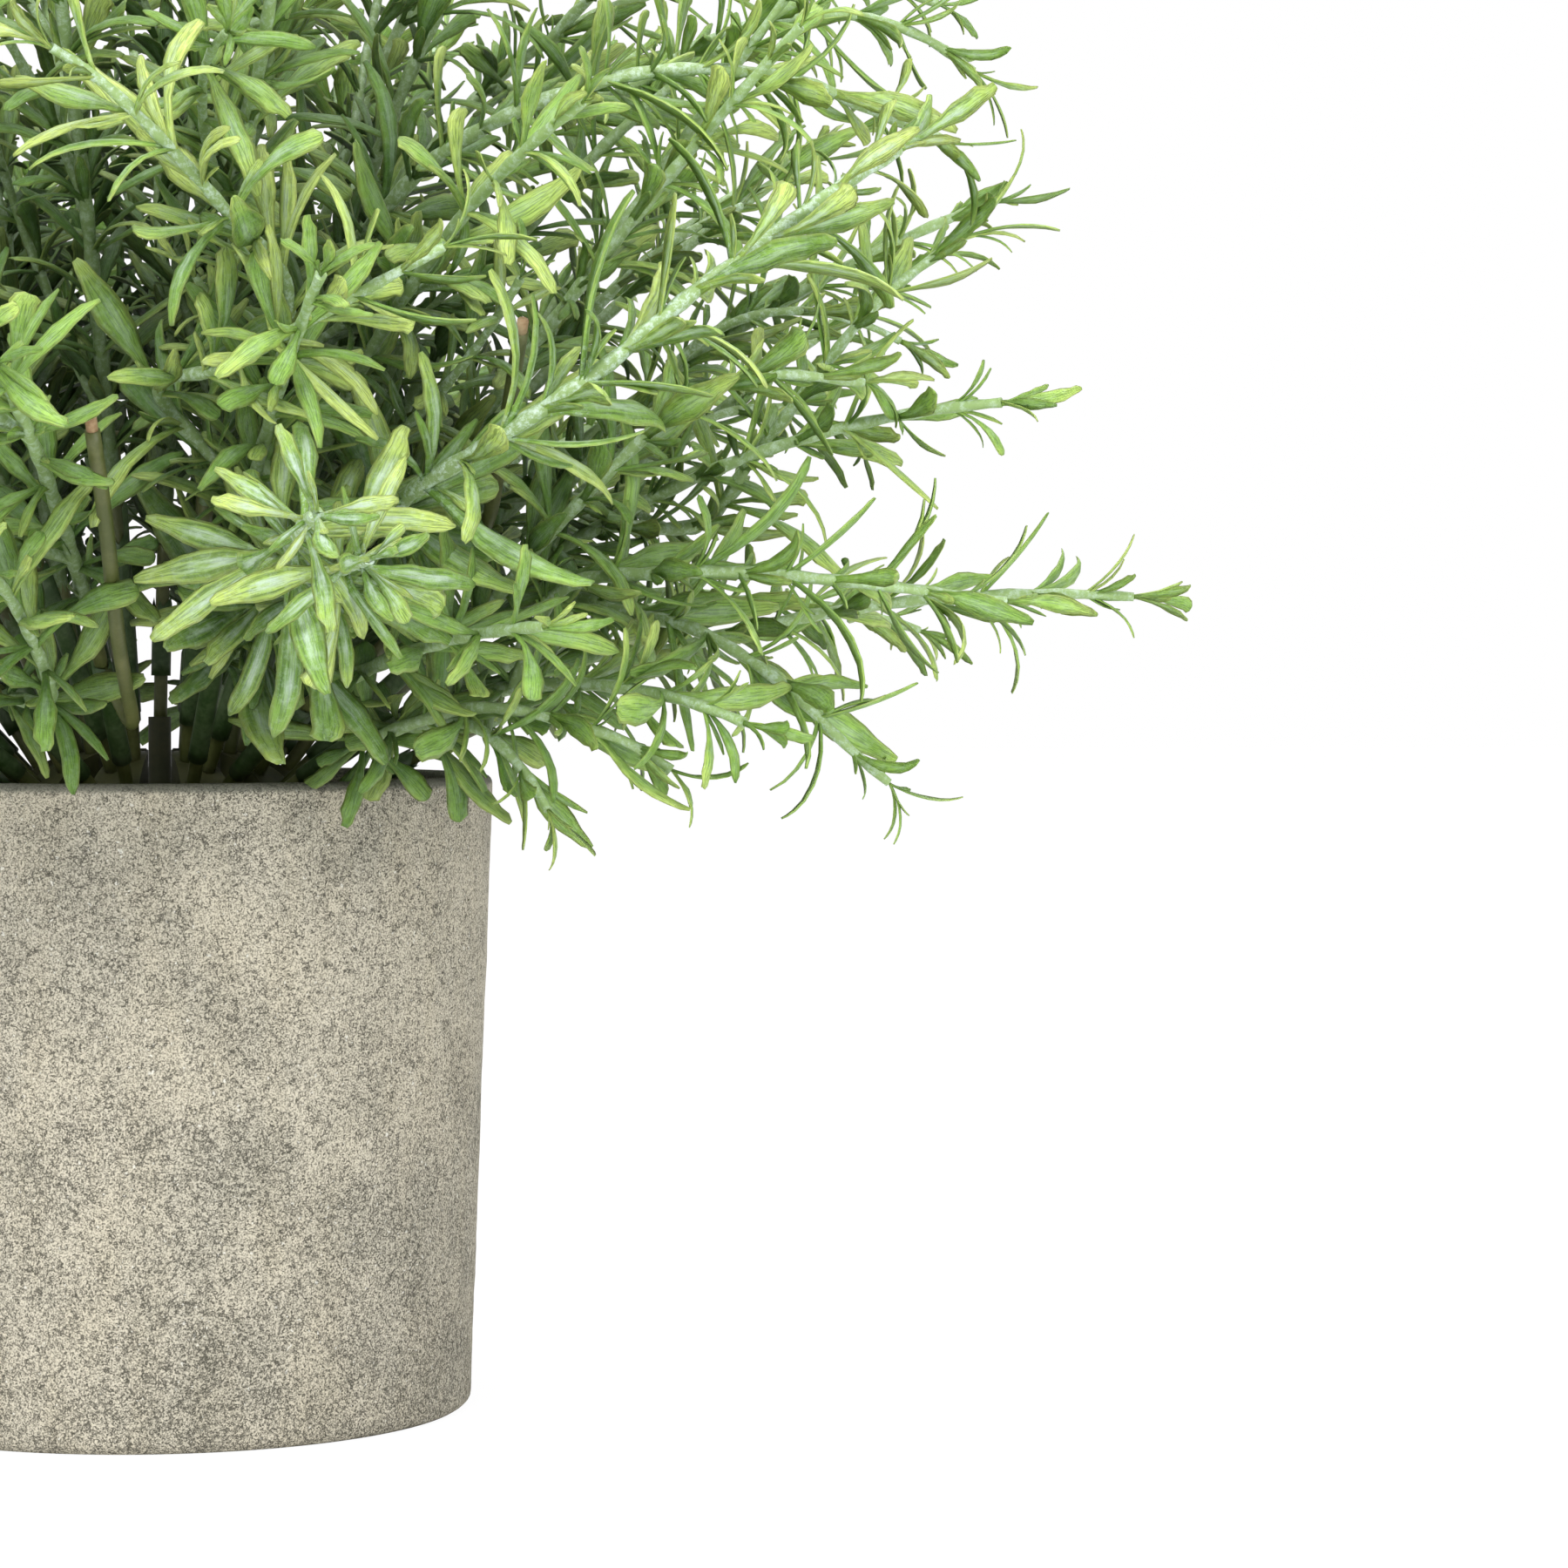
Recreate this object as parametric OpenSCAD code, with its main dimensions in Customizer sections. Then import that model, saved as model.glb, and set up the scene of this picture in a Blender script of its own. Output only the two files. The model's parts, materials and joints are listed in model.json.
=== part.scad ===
// Artificial rosemary bush in a round stone-look pot.
// Millimetres, +Z up. The origin is the centre of the pot's flat underside.

/* [Pot] */
// Height of the pot
pot_h = 123; // [105:1:150]
// Outer diameter at the rim
rim_d = 130; // [116:1:150]
// Outer diameter at the base
base_d = 120.5; // [108:0.5:142]
// Thickness of the pot's side wall
pot_wall = 5.5; // [4:0.5:8]
// Thickness of the pot's floor
pot_floor = 7; // [4:0.5:12]
// Rounding of the rim's edges
rim_round = 1.8; // [0.8:0.1:1.9]
// Rounding of the foot's outer edge
foot_round = 2.6; // [1:0.1:4]

/* [Filling] */
// Thickness of the cast cement weight
ballast_h = 26; // [15:1:34]
// Depth of the moss below the rim
moss_drop = 20; // [17:1:24]
// Thickness of the moss layer
moss_h = 6; // [3:0.5:8]
// Gap between the filling and the pot's wall
fill_gap = 0.1; // [0.05:0.05:0.5]

/* [Trunk] */
// Diameter of the trunk's post in the foam
post_d = 16; // [13:0.5:20]
// Length of the post
post_h = 46; // [35:1:52]
// Diameter of the crown's flange
crown_d = 30; // [29:0.5:34]
// Height of the flange above the foam
flange_h = 8.5; // [6:0.1:10]
// Radius of the ring on which the sprays' pivots lie
pivot_r = 12; // [11.6:0.1:13]
// Tilt of the crown's cone, which faces the sprays
crown_tilt = 50; // [46:1:54]
// Diameter of a steel wire cast in the post
post_wire_d = 2.4; // [1.6:0.1:2.8]
// Thickness of the hot-melt ring round the crown
glue_d = 3; // [2:0.1:4]

/* [Spray base] */
// Radius of the ball on which a spray bends
ball_r = 2.6; // [2.3:0.1:2.8]
// Gap between the ball and its cup
ball_gap = 0.3; // [0.2:0.05:0.4]
// Width of the neck between the ball and the palm
neck_w = 3; // [2.6:0.1:3.2]
// Diameter of the leader's finger
finger_d = 4.4; // [4:0.1:4.8]
// Length of a palm or finger, from the pivot
finger_len = 22; // [21:0.5:25]
// Depth of a stem in its palm
seat_len = 6; // [4:0.5:6]

/* [Stems] */
// Diameter of the steel wire in a stem
wire_d = 1.2; // [0.9:0.1:1.4]
// Outer diameter of a stem's plastic coat
coat_d = 2.6; // [2.2:0.1:2.8]
// Gap between a wire, its coat and what is slipped on
slip = 0.05; // [0.03:0.01:0.08]
// Bare end of a leafy sprig beyond the wire
tip_len = 9; // [6:0.5:14]

/* [Leaves] */
// Outer diameter of a leafy sprig's stem
sleeve_d = 3.9; // [3.6:0.1:4.4]
// Length of a sprig that is slipped over a stem's coat
socket_len = 12; // [8:0.5:16]
// Longest leaf
leaf_len = 21; // [14:0.5:22]
// Width of the longest leaf
leaf_w = 3.8; // [2.5:0.1:5]
// Thickness of a leaf
leaf_t = 0.9; // [0.6:0.05:1.2]
// Angle between a leaf and its stem
leaf_tilt = 40; // [32:1:46]
// Distance from one pair of leaves to the next
pair_pitch = 18; // [14:0.5:24]
// A leaf's length as a share of its distance from the pivot
leaf_share = 0.14; // [0.1:0.01:0.14]

/* [Hidden] */
$fn = 48;
overlap = 0.5;                    // how far a cutter passes what it cuts
moss_z = pot_h - moss_drop;       // top of the moss
foam_z = moss_z - moss_h;         // top of the foam
ballast_z = pot_floor + ballast_h;
crown_r = crown_d / 2;
cone_slope = 1 / tan(crown_tilt); // rise of the crown's cone per millimetre inwards
cup_lift = -1.6;                  // how far a pivot stands off the cone, so the ball snaps in
crown_top_r = 5;                  // radius of the crown's flat top
cone_foot_z = foam_z + flange_h;
crown_top_z = cone_foot_z + (crown_r - crown_top_r) * cone_slope;
pivot_z = cone_foot_z + cup_lift * sin(crown_tilt)
        + (crown_r - pivot_r + cup_lift * cos(crown_tilt)) * cone_slope;
leader_z = crown_top_z + cup_lift;
cup_r = ball_r + ball_gap;
palm_margin = 8;                  // degrees of palm below the lowest stem, above the highest
moss_gap = 0.5;                   // between the crown and the hole in the moss
post_wires = 6;                   // steel wires round the post's middle one
post_wire_ring = post_d / 2 - 3;  // radius of the ring of wires
post_wire_cover = 4;              // plastic under and over the wires' ends
crimp_r = wire_d / 2 + 0.3;       // crimp where a wire changes its bend
crimp_len = 1.4;                  // length of that crimp
bare_wire = 0.8;                  // wire that sticks out of a cut stem

// Each arm of a spray is a stem that bends downwards. Its values are its turn from the
// spray's middle plane, its first rise, the length of its inner bend and how far that
// turns down, the length of its leafy outer bend and how far that turns down. An arm
// without an outer bend is a stem that was cut off and carries no leaves.
SIDE = [
    [-9, 31,  72,  8, 116, 27],
    [ 9, 44,  72,  2, 116,  8],
    [-9, 57,  84, 12, 116, 24],
    [ 9, 67,  84, 16, 112, 20],
    [ 0, 80, 118,  8, 140, 92],
];
BACK = [
    [-9, 38,  74, 14, 112, 40],
    [ 9, 48,  76,  8, 112, 30],
    [-9, 60,  80,  8, 126, 24],
    [ 9, 70,  84,  8, 146, 38],
    [ 0, 80, 110,  4, 146, 40],
];
NEAR = [
    [ 9, 43,  74, 28,  70, 14],
    [-9, 46,  74,  6, 104, 20],
    [ 9, 58,  78,  6, 124, 36],
    [-9, 69,  86, 10, 140, 24],
    [ 0, 80, 106,  6, 140, 60],
];
FRONT = [
    [-9, 41,  76, 30,  64, 30],
    [ 9, 45,  74,  8, 112, 34],
    [-9, 56,  76,  8, 132, 10],
    [ 9, 68,  88,  6, 140, 42],
    [ 0, 79, 100,  6, 150, 30],
];
TALL = [
    [-9, 42,  74, 24,  84, 26],
    [ 9, 47,  76, 14, 112, 20],
    [-9, 59,  80, 10, 126, 40],
    [ 9, 70,  84,  6, 150, 22],
    [ 0, 80,  84,  2,   0,  0],
];
LEADER = [[0, 90, 84, 3, 206, 9]];
// The kind of each spray, anticlockwise from +X
SPRAYS = [SIDE, BACK, NEAR, FRONT, SIDE, BACK, NEAR, TALL, NEAR, FRONT];
spray_step = 360 / len(SPRAYS);

// The nodes
PIECES = ["base", "stems", "wires", "leaves"];
NAMES = concat([for (i = [1:len(SPRAYS)]) str("spray_", i < 10 ? "0" : "", i)], ["leader"]);

// The direction of an arm, in degrees above the horizon, at a distance s along it
function heading(a, s) = s <= a[2] ? a[1] - a[3] * s / a[2]
                                   : a[1] - a[3] - a[5] * (s - a[2]) / a[4];
// The step from the start of a bend, which turns down by `turn` over `len`, to s along it
function bend_step(rise, turn, len, s) =
    let (r = len * 180 / (turn * PI), now = rise - turn * s / len)
    r * [sin(rise) - sin(now), cos(now) - cos(rise)];
// The point at a distance s along an arm, in the arm's own plane
function place(a, s) = s <= a[2] ? bend_step(a[1], a[3], a[2], s)
    : bend_step(a[1], a[3], a[2], a[2]) + bend_step(a[1] - a[3], a[5], a[4], s - a[2]);
function reach(a) = a[2] + a[4];
function leafy(a) = a[4] > 0;
// An arm whose inner bend goes on by a length `more`, without an outer bend
function stretched(a, more) =
    [a[0], a[1], a[2] + more, a[3] * (a[2] + more) / a[2], 0, 0];

// Round bar along one bend of an arm, from a distance s0 to s1 that lie on that bend
module bar(a, s0, s1, r) {
    p = place(a, s0);
    outer = s1 > a[2];
    turn = outer ? a[5] * (s1 - s0) / a[4] : a[3] * (s1 - s0) / a[2];
    rise = outer ? a[1] - a[3] - a[5] * (s0 - a[2]) / a[4] : heading(a, s0);
    ring = (s1 - s0) * 180 / (turn * PI);
    multmatrix([[-sin(rise), cos(rise), 0, p[0] + ring * sin(rise)],
                [0, 0, 1, 0],
                [cos(rise), sin(rise), 0, p[1] - ring * cos(rise)],
                [0, 0, 0, 1]])
        rotate_extrude(angle = turn) translate([ring, 0]) circle(r = r);
}

// What sits at a distance s along an arm, turned about the stem by `roll`
module on_arm(a, s, roll = 0) {
    p = place(a, s);
    translate([p[0], 0, p[1]]) rotate([0, -heading(a, s), 0]) rotate([roll, 0, 0])
        children();
}

// Straight stretch of round bar between two places on an arm
module link(a, s0, s1, r) {
    p = place(a, s0);
    step = place(a, s1) - p;
    translate([p[0], 0, p[1]]) rotate([0, 90 - atan2(step[1], step[0]), 0])
        cylinder(h = norm(step), r = r);
}

// A leaf along +X, with its root inside the collar
module leaf(len, w) {
    root = 0.5 * sleeve_d;
    linear_extrude(leaf_t, center = true)
        polygon([[root, -0.3 * w], [0.6 * len, -0.5 * w], [len, 0],
                 [0.6 * len, 0.5 * w], [root, 0.3 * w]]);
}

// A square collar on a sprig's stem with a pair of leaves
module leaf_pair(a, s, roll) {
    collar = sleeve_d + 0.3;
    len = min(leaf_len, leaf_share * s);
    on_arm(a, s, roll) {
        cube([3.6, collar, collar], center = true);
        for (side = [0, 180]) rotate([side, 0, 0]) rotate([0, -leaf_tilt, 0])
            leaf(len, min(leaf_w, 0.3 * len));
    }
}

// A leafy sprig, slipped over the end of its stem's coat
module sprig(a) {
    first = a[2] - socket_len;
    last = reach(a) - 3;
    pairs = floor((last - a[2] - 5) / pair_pitch);
    joint = 0.4;   // half the space between two links, inside the collar
    difference() {
        union() {
            link(a, first, last - pairs * pair_pitch - joint, sleeve_d / 2);
            for (n = [0:pairs - 1])
                link(a, last - (n + 1) * pair_pitch + joint, last - n * pair_pitch - joint,
                     sleeve_d / 2);
            link(a, last + joint, reach(a), sleeve_d / 2);
            for (n = [0:pairs]) leaf_pair(a, last - n * pair_pitch, 45 + 90 * (n % 2));
        }
        bar(a, first - overlap, a[2] - 0.1, coat_d / 2 + slip);
        on_arm(a, a[2]) rotate([0, 90, 0])
            cylinder(h = crimp_len + 0.6, r = coat_d / 2 + slip + 0.2, center = true);
        bar(a, a[2] + 0.1, reach(a) - tip_len, wire_d / 2 + slip);
    }
}

// The steel wire in one arm
module arm_wire(a) {
    start = finger_len - seat_len;
    if (leafy(a)) {
        bar(a, start, a[2] - 0.05, wire_d / 2);
        on_arm(a, a[2]) rotate([0, 90, 0]) cylinder(h = crimp_len, r = crimp_r, center = true);
        bar(a, a[2] + 0.05, reach(a) - tip_len - 1, wire_d / 2);
    } else
        bar(stretched(a, bare_wire), start, a[2] + bare_wire, wire_d / 2);
}

// The plastic coat of one arm's stem
module arm_coat(a) {
    start = finger_len - seat_len;
    end = leafy(a) ? a[2] - 1.5 : a[2];
    difference() {
        bar(a, start, end, coat_d / 2);
        bar(stretched(a, 2 * overlap), start - overlap, end + overlap, wire_d / 2 + slip);
    }
}

// The moulded base of a spray: a ball, and a fan-shaped palm with a hole for each stem
module palm(kind) {
    rises = [for (a = kind) a[1]];
    low = min(rises) - palm_margin;
    high = max(rises) + palm_margin;
    far = 2 * finger_len;
    plan = [[0, neck_w / 2], [2, neck_w / 2], [4.5, 3], [finger_len, 5.8]];
    difference() {
        union() {
            sphere(r = ball_r);
            intersection() {
                rotate([90, 0, 0]) linear_extrude(finger_len, center = true) intersection() {
                    circle(r = finger_len);
                    polygon([[0, 0], far * [cos(low), sin(low)],
                             far * [cos((low + high) / 2), sin((low + high) / 2)],
                             far * [cos(high), sin(high)]]);
                }
                linear_extrude(finger_len + 1)
                    polygon(concat(plan, [for (n = [len(plan) - 1:-1:0])
                                              [plan[n][0], -plan[n][1]]]));
            }
        }
        for (a = kind) rotate([0, 0, a[0]])
            bar(a, finger_len - seat_len, finger_len + overlap, coat_d / 2 + slip);
    }
}

// The leader's base: a ball, a neck and one finger
module leader_base(a) {
    difference() {
        union() {
            sphere(r = ball_r);
            cylinder(h = finger_len / 2, d = neck_w);
            translate([0, 0, finger_len / 4]) cylinder(h = finger_len * 3 / 4, d = finger_d);
        }
        bar(a, finger_len - seat_len, finger_len + overlap, coat_d / 2 + slip);
    }
}

// One piece of a spray, with the spray's pivot at the origin
module spray_piece(kind, piece) {
    if (piece == "base") color("darkolivegreen") {
        if (len(kind) > 1) palm(kind);
        else leader_base(kind[0]);
    }
    if (piece == "stems") color("olivedrab")
        for (a = kind) rotate([0, 0, a[0]]) arm_coat(a);
    if (piece == "wires") color("silver")
        for (a = kind) rotate([0, 0, a[0]]) arm_wire(a);
    if (piece == "leaves") color("yellowgreen")
        for (a = kind) if (leafy(a)) rotate([0, 0, a[0]]) sprig(a);
}

// Puts what follows at a spray's pivot: 0 to 9 on the ring, then the leader
module at_pivot(i) {
    if (i < len(SPRAYS))
        rotate([0, 0, i * spray_step]) translate([pivot_r, 0, pivot_z]) children();
    else
        translate([0, 0, leader_z]) children();
}

// The wall's outer radius at a height z
function outer_r(z) = (base_d + (rim_d - base_d) * z / pot_h) / 2;
function inner_r(z) = outer_r(z) - pot_wall;

// The hollow pot, with a rounded foot and a rounded rim
module pot_shell() {
    color("darkgray") rotate_extrude($fn = 96) difference() {
        union() {
            polygon([[0, 0], [outer_r(0) - foot_round, 0], [outer_r(foot_round), foot_round],
                     [outer_r(pot_h - rim_round), pot_h - rim_round],
                     [outer_r(pot_h) - rim_round, pot_h],
                     [inner_r(pot_h) + rim_round, pot_h],
                     [inner_r(pot_h - rim_round), pot_h - rim_round],
                     [inner_r(pot_floor), pot_floor], [0, pot_floor]]);
            intersection() {
                translate([outer_r(foot_round) - foot_round, foot_round]) circle(r = foot_round);
                square([outer_r(foot_round), foot_round]);
            }
            translate([outer_r(pot_h - rim_round) - rim_round, pot_h - rim_round])
                circle(r = rim_round);
            translate([inner_r(pot_h - rim_round) + rim_round, pot_h - rim_round])
                circle(r = rim_round);
        }
        translate([-foot_round, 0]) square([foot_round, pot_h]);
    }
}

// A round filling that follows the pot's inside from a height z0 to z1
module filling(z0, z1) {
    translate([0, 0, z0]) cylinder(h = z1 - z0, $fn = 96,
        r1 = inner_r(z0) - fill_gap, r2 = inner_r(z1) - fill_gap);
}

module cement_ballast() { color("gray") filling(pot_floor, ballast_z); }

module foam_block() {
    color("seagreen") difference() {
        filling(ballast_z, foam_z);
        translate([0, 0, foam_z - post_h]) cylinder(h = post_h + overlap, d = post_d);
    }
}

module moss_layer() {
    color("olive") difference() {
        filling(foam_z, moss_z);
        translate([0, 0, foam_z - overlap])
            cylinder(h = moss_h + 2 * overlap, r = crown_r + glue_d + moss_gap);
    }
}

// The trunk's post and the crown with a cup for each spray's ball
module trunk_crown() {
    color("saddlebrown") difference() {
        union() {
            translate([0, 0, foam_z - post_h]) cylinder(h = post_h, d = post_d);
            translate([0, 0, foam_z]) cylinder(h = flange_h, r = crown_r);
            translate([0, 0, cone_foot_z])
                cylinder(h = crown_top_z - cone_foot_z, r1 = crown_r, r2 = crown_top_r);
        }
        for (i = [0:len(SPRAYS)]) at_pivot(i) sphere(r = cup_r);
        post_wire_set(post_wire_d / 2 + slip, slip);
    }
}

module post_wire_set(r, more = 0) {
    z0 = foam_z - post_h + post_wire_cover;
    for (x = [0, post_wire_ring], n = [1:x == 0 ? 1 : post_wires])
        rotate([0, 0, n * 360 / post_wires]) translate([x, 0, z0 - more])
            cylinder(h = post_h - post_wire_cover + 2 * more, r = r);
}

module trunk_wires() { color("silver") post_wire_set(post_wire_d / 2); }

// The ring of hot-melt glue that holds the crown's flange on the foam
module glue_ring() {
    color("ivory") translate([0, 0, foam_z]) difference() {
        rotate_extrude() intersection() {
            translate([crown_r + slip, 0]) circle(r = glue_d);
            square([crown_r + slip + glue_d, glue_d]);
        }
        translate([0, 0, -overlap]) cylinder(h = glue_d + 2 * overlap, r = crown_r + slip);
    }
}

pot_shell();
cement_ballast();
foam_block();
moss_layer();
trunk_crown();
trunk_wires();
glue_ring();
for (i = [0:len(SPRAYS)], piece = PIECES)
    at_pivot(i) spray_piece(i < len(SPRAYS) ? SPRAYS[i] : LEADER, piece);
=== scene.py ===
"""Looks of an artificial rosemary bush in a round cement-look pot."""
import json
import logging
import math
import random
from dataclasses import dataclass, field
from enum import Enum
from typing import Iterable, Union

import bmesh
import bpy
from mathutils import Matrix, Vector, noise

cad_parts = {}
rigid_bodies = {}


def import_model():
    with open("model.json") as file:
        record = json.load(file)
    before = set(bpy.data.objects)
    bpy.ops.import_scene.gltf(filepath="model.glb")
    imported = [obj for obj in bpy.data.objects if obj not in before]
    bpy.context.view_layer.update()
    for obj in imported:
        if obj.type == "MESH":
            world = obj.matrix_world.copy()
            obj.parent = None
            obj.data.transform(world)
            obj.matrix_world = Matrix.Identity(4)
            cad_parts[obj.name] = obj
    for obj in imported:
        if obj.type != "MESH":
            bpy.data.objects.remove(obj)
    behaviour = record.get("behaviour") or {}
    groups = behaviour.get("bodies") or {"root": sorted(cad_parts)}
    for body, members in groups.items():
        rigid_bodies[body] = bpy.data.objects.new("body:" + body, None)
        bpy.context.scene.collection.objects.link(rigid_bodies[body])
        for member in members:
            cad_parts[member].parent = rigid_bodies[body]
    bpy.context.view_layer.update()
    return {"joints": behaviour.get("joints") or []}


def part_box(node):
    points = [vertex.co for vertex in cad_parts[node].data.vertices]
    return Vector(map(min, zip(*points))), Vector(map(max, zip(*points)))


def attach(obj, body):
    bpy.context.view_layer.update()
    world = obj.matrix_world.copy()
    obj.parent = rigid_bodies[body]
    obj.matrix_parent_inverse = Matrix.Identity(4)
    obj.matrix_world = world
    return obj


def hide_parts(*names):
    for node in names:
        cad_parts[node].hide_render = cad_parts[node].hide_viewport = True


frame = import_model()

LOG = logging.getLogger("rosemary")
MM = 0.001
Colour = tuple[float, float, float]
Spot = tuple[float, float, float]


def paint(red: int, green: int, blue: int) -> Colour:
    """Turn a display colour of 0 to 255 a channel into a linear one.

    Args:
        red: red channel.
        green: green channel.
        blue: blue channel.

    Returns:
        The linear colour.
    """
    def linear(channel: int) -> float:
        """Return one channel's linear value."""
        value = channel / 255
        return value / 12.92 if value <= 0.04045 else ((value + 0.055) / 1.055) ** 2.4
    return linear(red), linear(green), linear(blue)


# ---------------------------------------------------------------- node helpers

Link = Union[bpy.types.NodeSocket, float, int, bool, str, tuple, "Num"]


@dataclass
class Graph:
    """A node tree that is built call by call."""

    tree: bpy.types.NodeTree

    def add(self, kind: str, settings: dict | None = None,
            inputs: dict[Union[int, str], Link] | None = None) -> bpy.types.Node:
        """Add a node.

        Args:
            kind: the node's type name.
            settings: values for the node's own properties.
            inputs: values or sockets for its inputs, by name or place.

        Returns:
            The new node.
        """
        node = self.tree.nodes.new(kind)
        for key, value in (settings or {}).items():
            setattr(node, key, value)
        for key, value in (inputs or {}).items():
            self.feed(node.inputs[key], value)
        return node

    def feed(self, target: bpy.types.NodeSocket, value: Link) -> None:
        """Set an input to a value, or link it to a socket."""
        if isinstance(value, Num):
            value = value.socket
        if isinstance(value, bpy.types.NodeSocket):
            self.tree.links.new(value, target)
        elif isinstance(value, tuple) and len(value) == 3 and target.type == "RGBA":
            target.default_value = (*value, 1)
        else:
            target.default_value = value

    def num(self, value: Link) -> "Num":
        """Wrap a socket or a number for arithmetic.

        Args:
            value: a number, a socket, or a number socket that is wrapped already.

        Returns:
            The number socket.
        """
        if isinstance(value, Num):
            return value
        if isinstance(value, (int, float)):
            node = self.add("ShaderNodeMath", {"operation": "ADD"}, {0: value, 1: 0.0})
            return Num(self, node.outputs[0])
        return Num(self, value)


@dataclass
class Num:
    """A number socket with arithmetic."""

    graph: Graph
    socket: bpy.types.NodeSocket

    def _math(self, operation: str, *others: Link, first: Link | None = None) -> "Num":
        """Work this number and others out with a Math node.

        Args:
            operation: the Math node's operation.
            others: the operands after the first.
            first: the first operand, or None for this number.

        Returns:
            The result.
        """
        values = [self if first is None else first, *others]
        inputs = {place: value for place, value in enumerate(values)}
        node = self.graph.add("ShaderNodeMath", {"operation": operation}, inputs)
        return Num(self.graph, node.outputs[0])

    def __add__(self, other: Link) -> "Num":
        """Return the sum."""
        return self._math("ADD", other)

    def __sub__(self, other: Link) -> "Num":
        """Return the difference."""
        return self._math("SUBTRACT", other)

    def __rsub__(self, other: float) -> "Num":
        """Return a number minus this one."""
        return self._math("SUBTRACT", self, first=other)

    def __mul__(self, other: Link) -> "Num":
        """Return the product."""
        return self._math("MULTIPLY", other)

    def __truediv__(self, other: Link) -> "Num":
        """Return the quotient."""
        return self._math("DIVIDE", other)

    def __mod__(self, other: Link) -> "Num":
        """Return the remainder."""
        return self._math("MODULO", other)

    __radd__ = __add__
    __rmul__ = __mul__

    def power(self, exponent: float) -> "Num":
        """Return this number to a power."""
        return self._math("POWER", exponent)

    def size(self) -> "Num":
        """Return this number without its sign."""
        return self._math("ABSOLUTE")

    def sine(self) -> "Num":
        """Return the sine."""
        return self._math("SINE")

    def floor(self) -> "Num":
        """Return the whole part."""
        return self._math("FLOOR")

    def most(self, other: Link) -> "Num":
        """Return the larger of this and another number."""
        return self._math("MAXIMUM", other)

    def ramp(self, low: float, high: float) -> "Num":
        """Return 0 below low, 1 above high and a smooth step between them."""
        node = self.graph.add("ShaderNodeMapRange", {"interpolation_type": "SMOOTHSTEP"},
                              {"Value": self, "From Min": low, "From Max": high})
        return Num(self.graph, node.outputs[0])


class Finish:
    """A procedural material: subclasses say how its colour and relief are made."""

    name: str

    def make(self) -> bpy.types.Material:
        """Build the material.

        Returns:
            The new material.
        """
        material = bpy.data.materials.new(self.name)
        material.use_nodes = True
        graph = Graph(material.node_tree)
        shader = material.node_tree.nodes["Principled BSDF"]
        self.dress(graph, shader)
        return material

    def dress(self, graph: Graph, shader: bpy.types.Node) -> None:
        """Wire the material's pattern into its shader."""
        raise NotImplementedError

    @staticmethod
    def place(graph: Graph) -> bpy.types.NodeSocket:
        """Return the object coordinates."""
        return graph.add("ShaderNodeTexCoord").outputs["Object"]

    @staticmethod
    def grain(graph: Graph, where: Link, per_metre: float, detail: float = 3,
              rough: float = 0.55) -> Num:
        """Return a noise pattern of 0 to 1.

        Args:
            graph: the material's graph.
            where: the coordinates it reads.
            per_metre: how many grains fit in a metre.
            detail: how many finer layers it has.
            rough: how strong those are.

        Returns:
            The pattern.
        """
        node = graph.add("ShaderNodeTexNoise", {"noise_dimensions": "3D"},
                         {"Vector": where, "Scale": per_metre, "Detail": detail,
                          "Roughness": rough})
        return Num(graph, node.outputs["Fac"])

    @staticmethod
    def blend(graph: Graph, share: Link, first: Link, second: Link,
              way: str = "MIX") -> bpy.types.NodeSocket:
        """Mix two colours.

        Args:
            graph: the material's graph.
            share: how much of the second colour shows.
            first: first colour.
            second: second colour.
            way: how they are mixed.

        Returns:
            The mixed colour's socket.
        """
        node = graph.add("ShaderNodeMix", {"data_type": "RGBA", "blend_type": way,
                                           "clamp_factor": True})
        graph.feed(node.inputs[0], share)
        graph.feed(node.inputs[6], first)
        graph.feed(node.inputs[7], second)
        return node.outputs[2]

    @staticmethod
    def relief(graph: Graph, shader: bpy.types.Node, height: Link, depth: float,
               strength: float = 1.0) -> None:
        """Give the surface a relief.

        Args:
            graph: the material's graph.
            shader: the shader that gets it.
            height: the pattern that is high where it is 1.
            depth: how high, in metres.
            strength: how much of it shows.
        """
        node = graph.add("ShaderNodeBump", inputs={"Strength": strength, "Distance": depth,
                                                   "Height": height})
        graph.feed(shader.inputs["Normal"], node.outputs[0])


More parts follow.
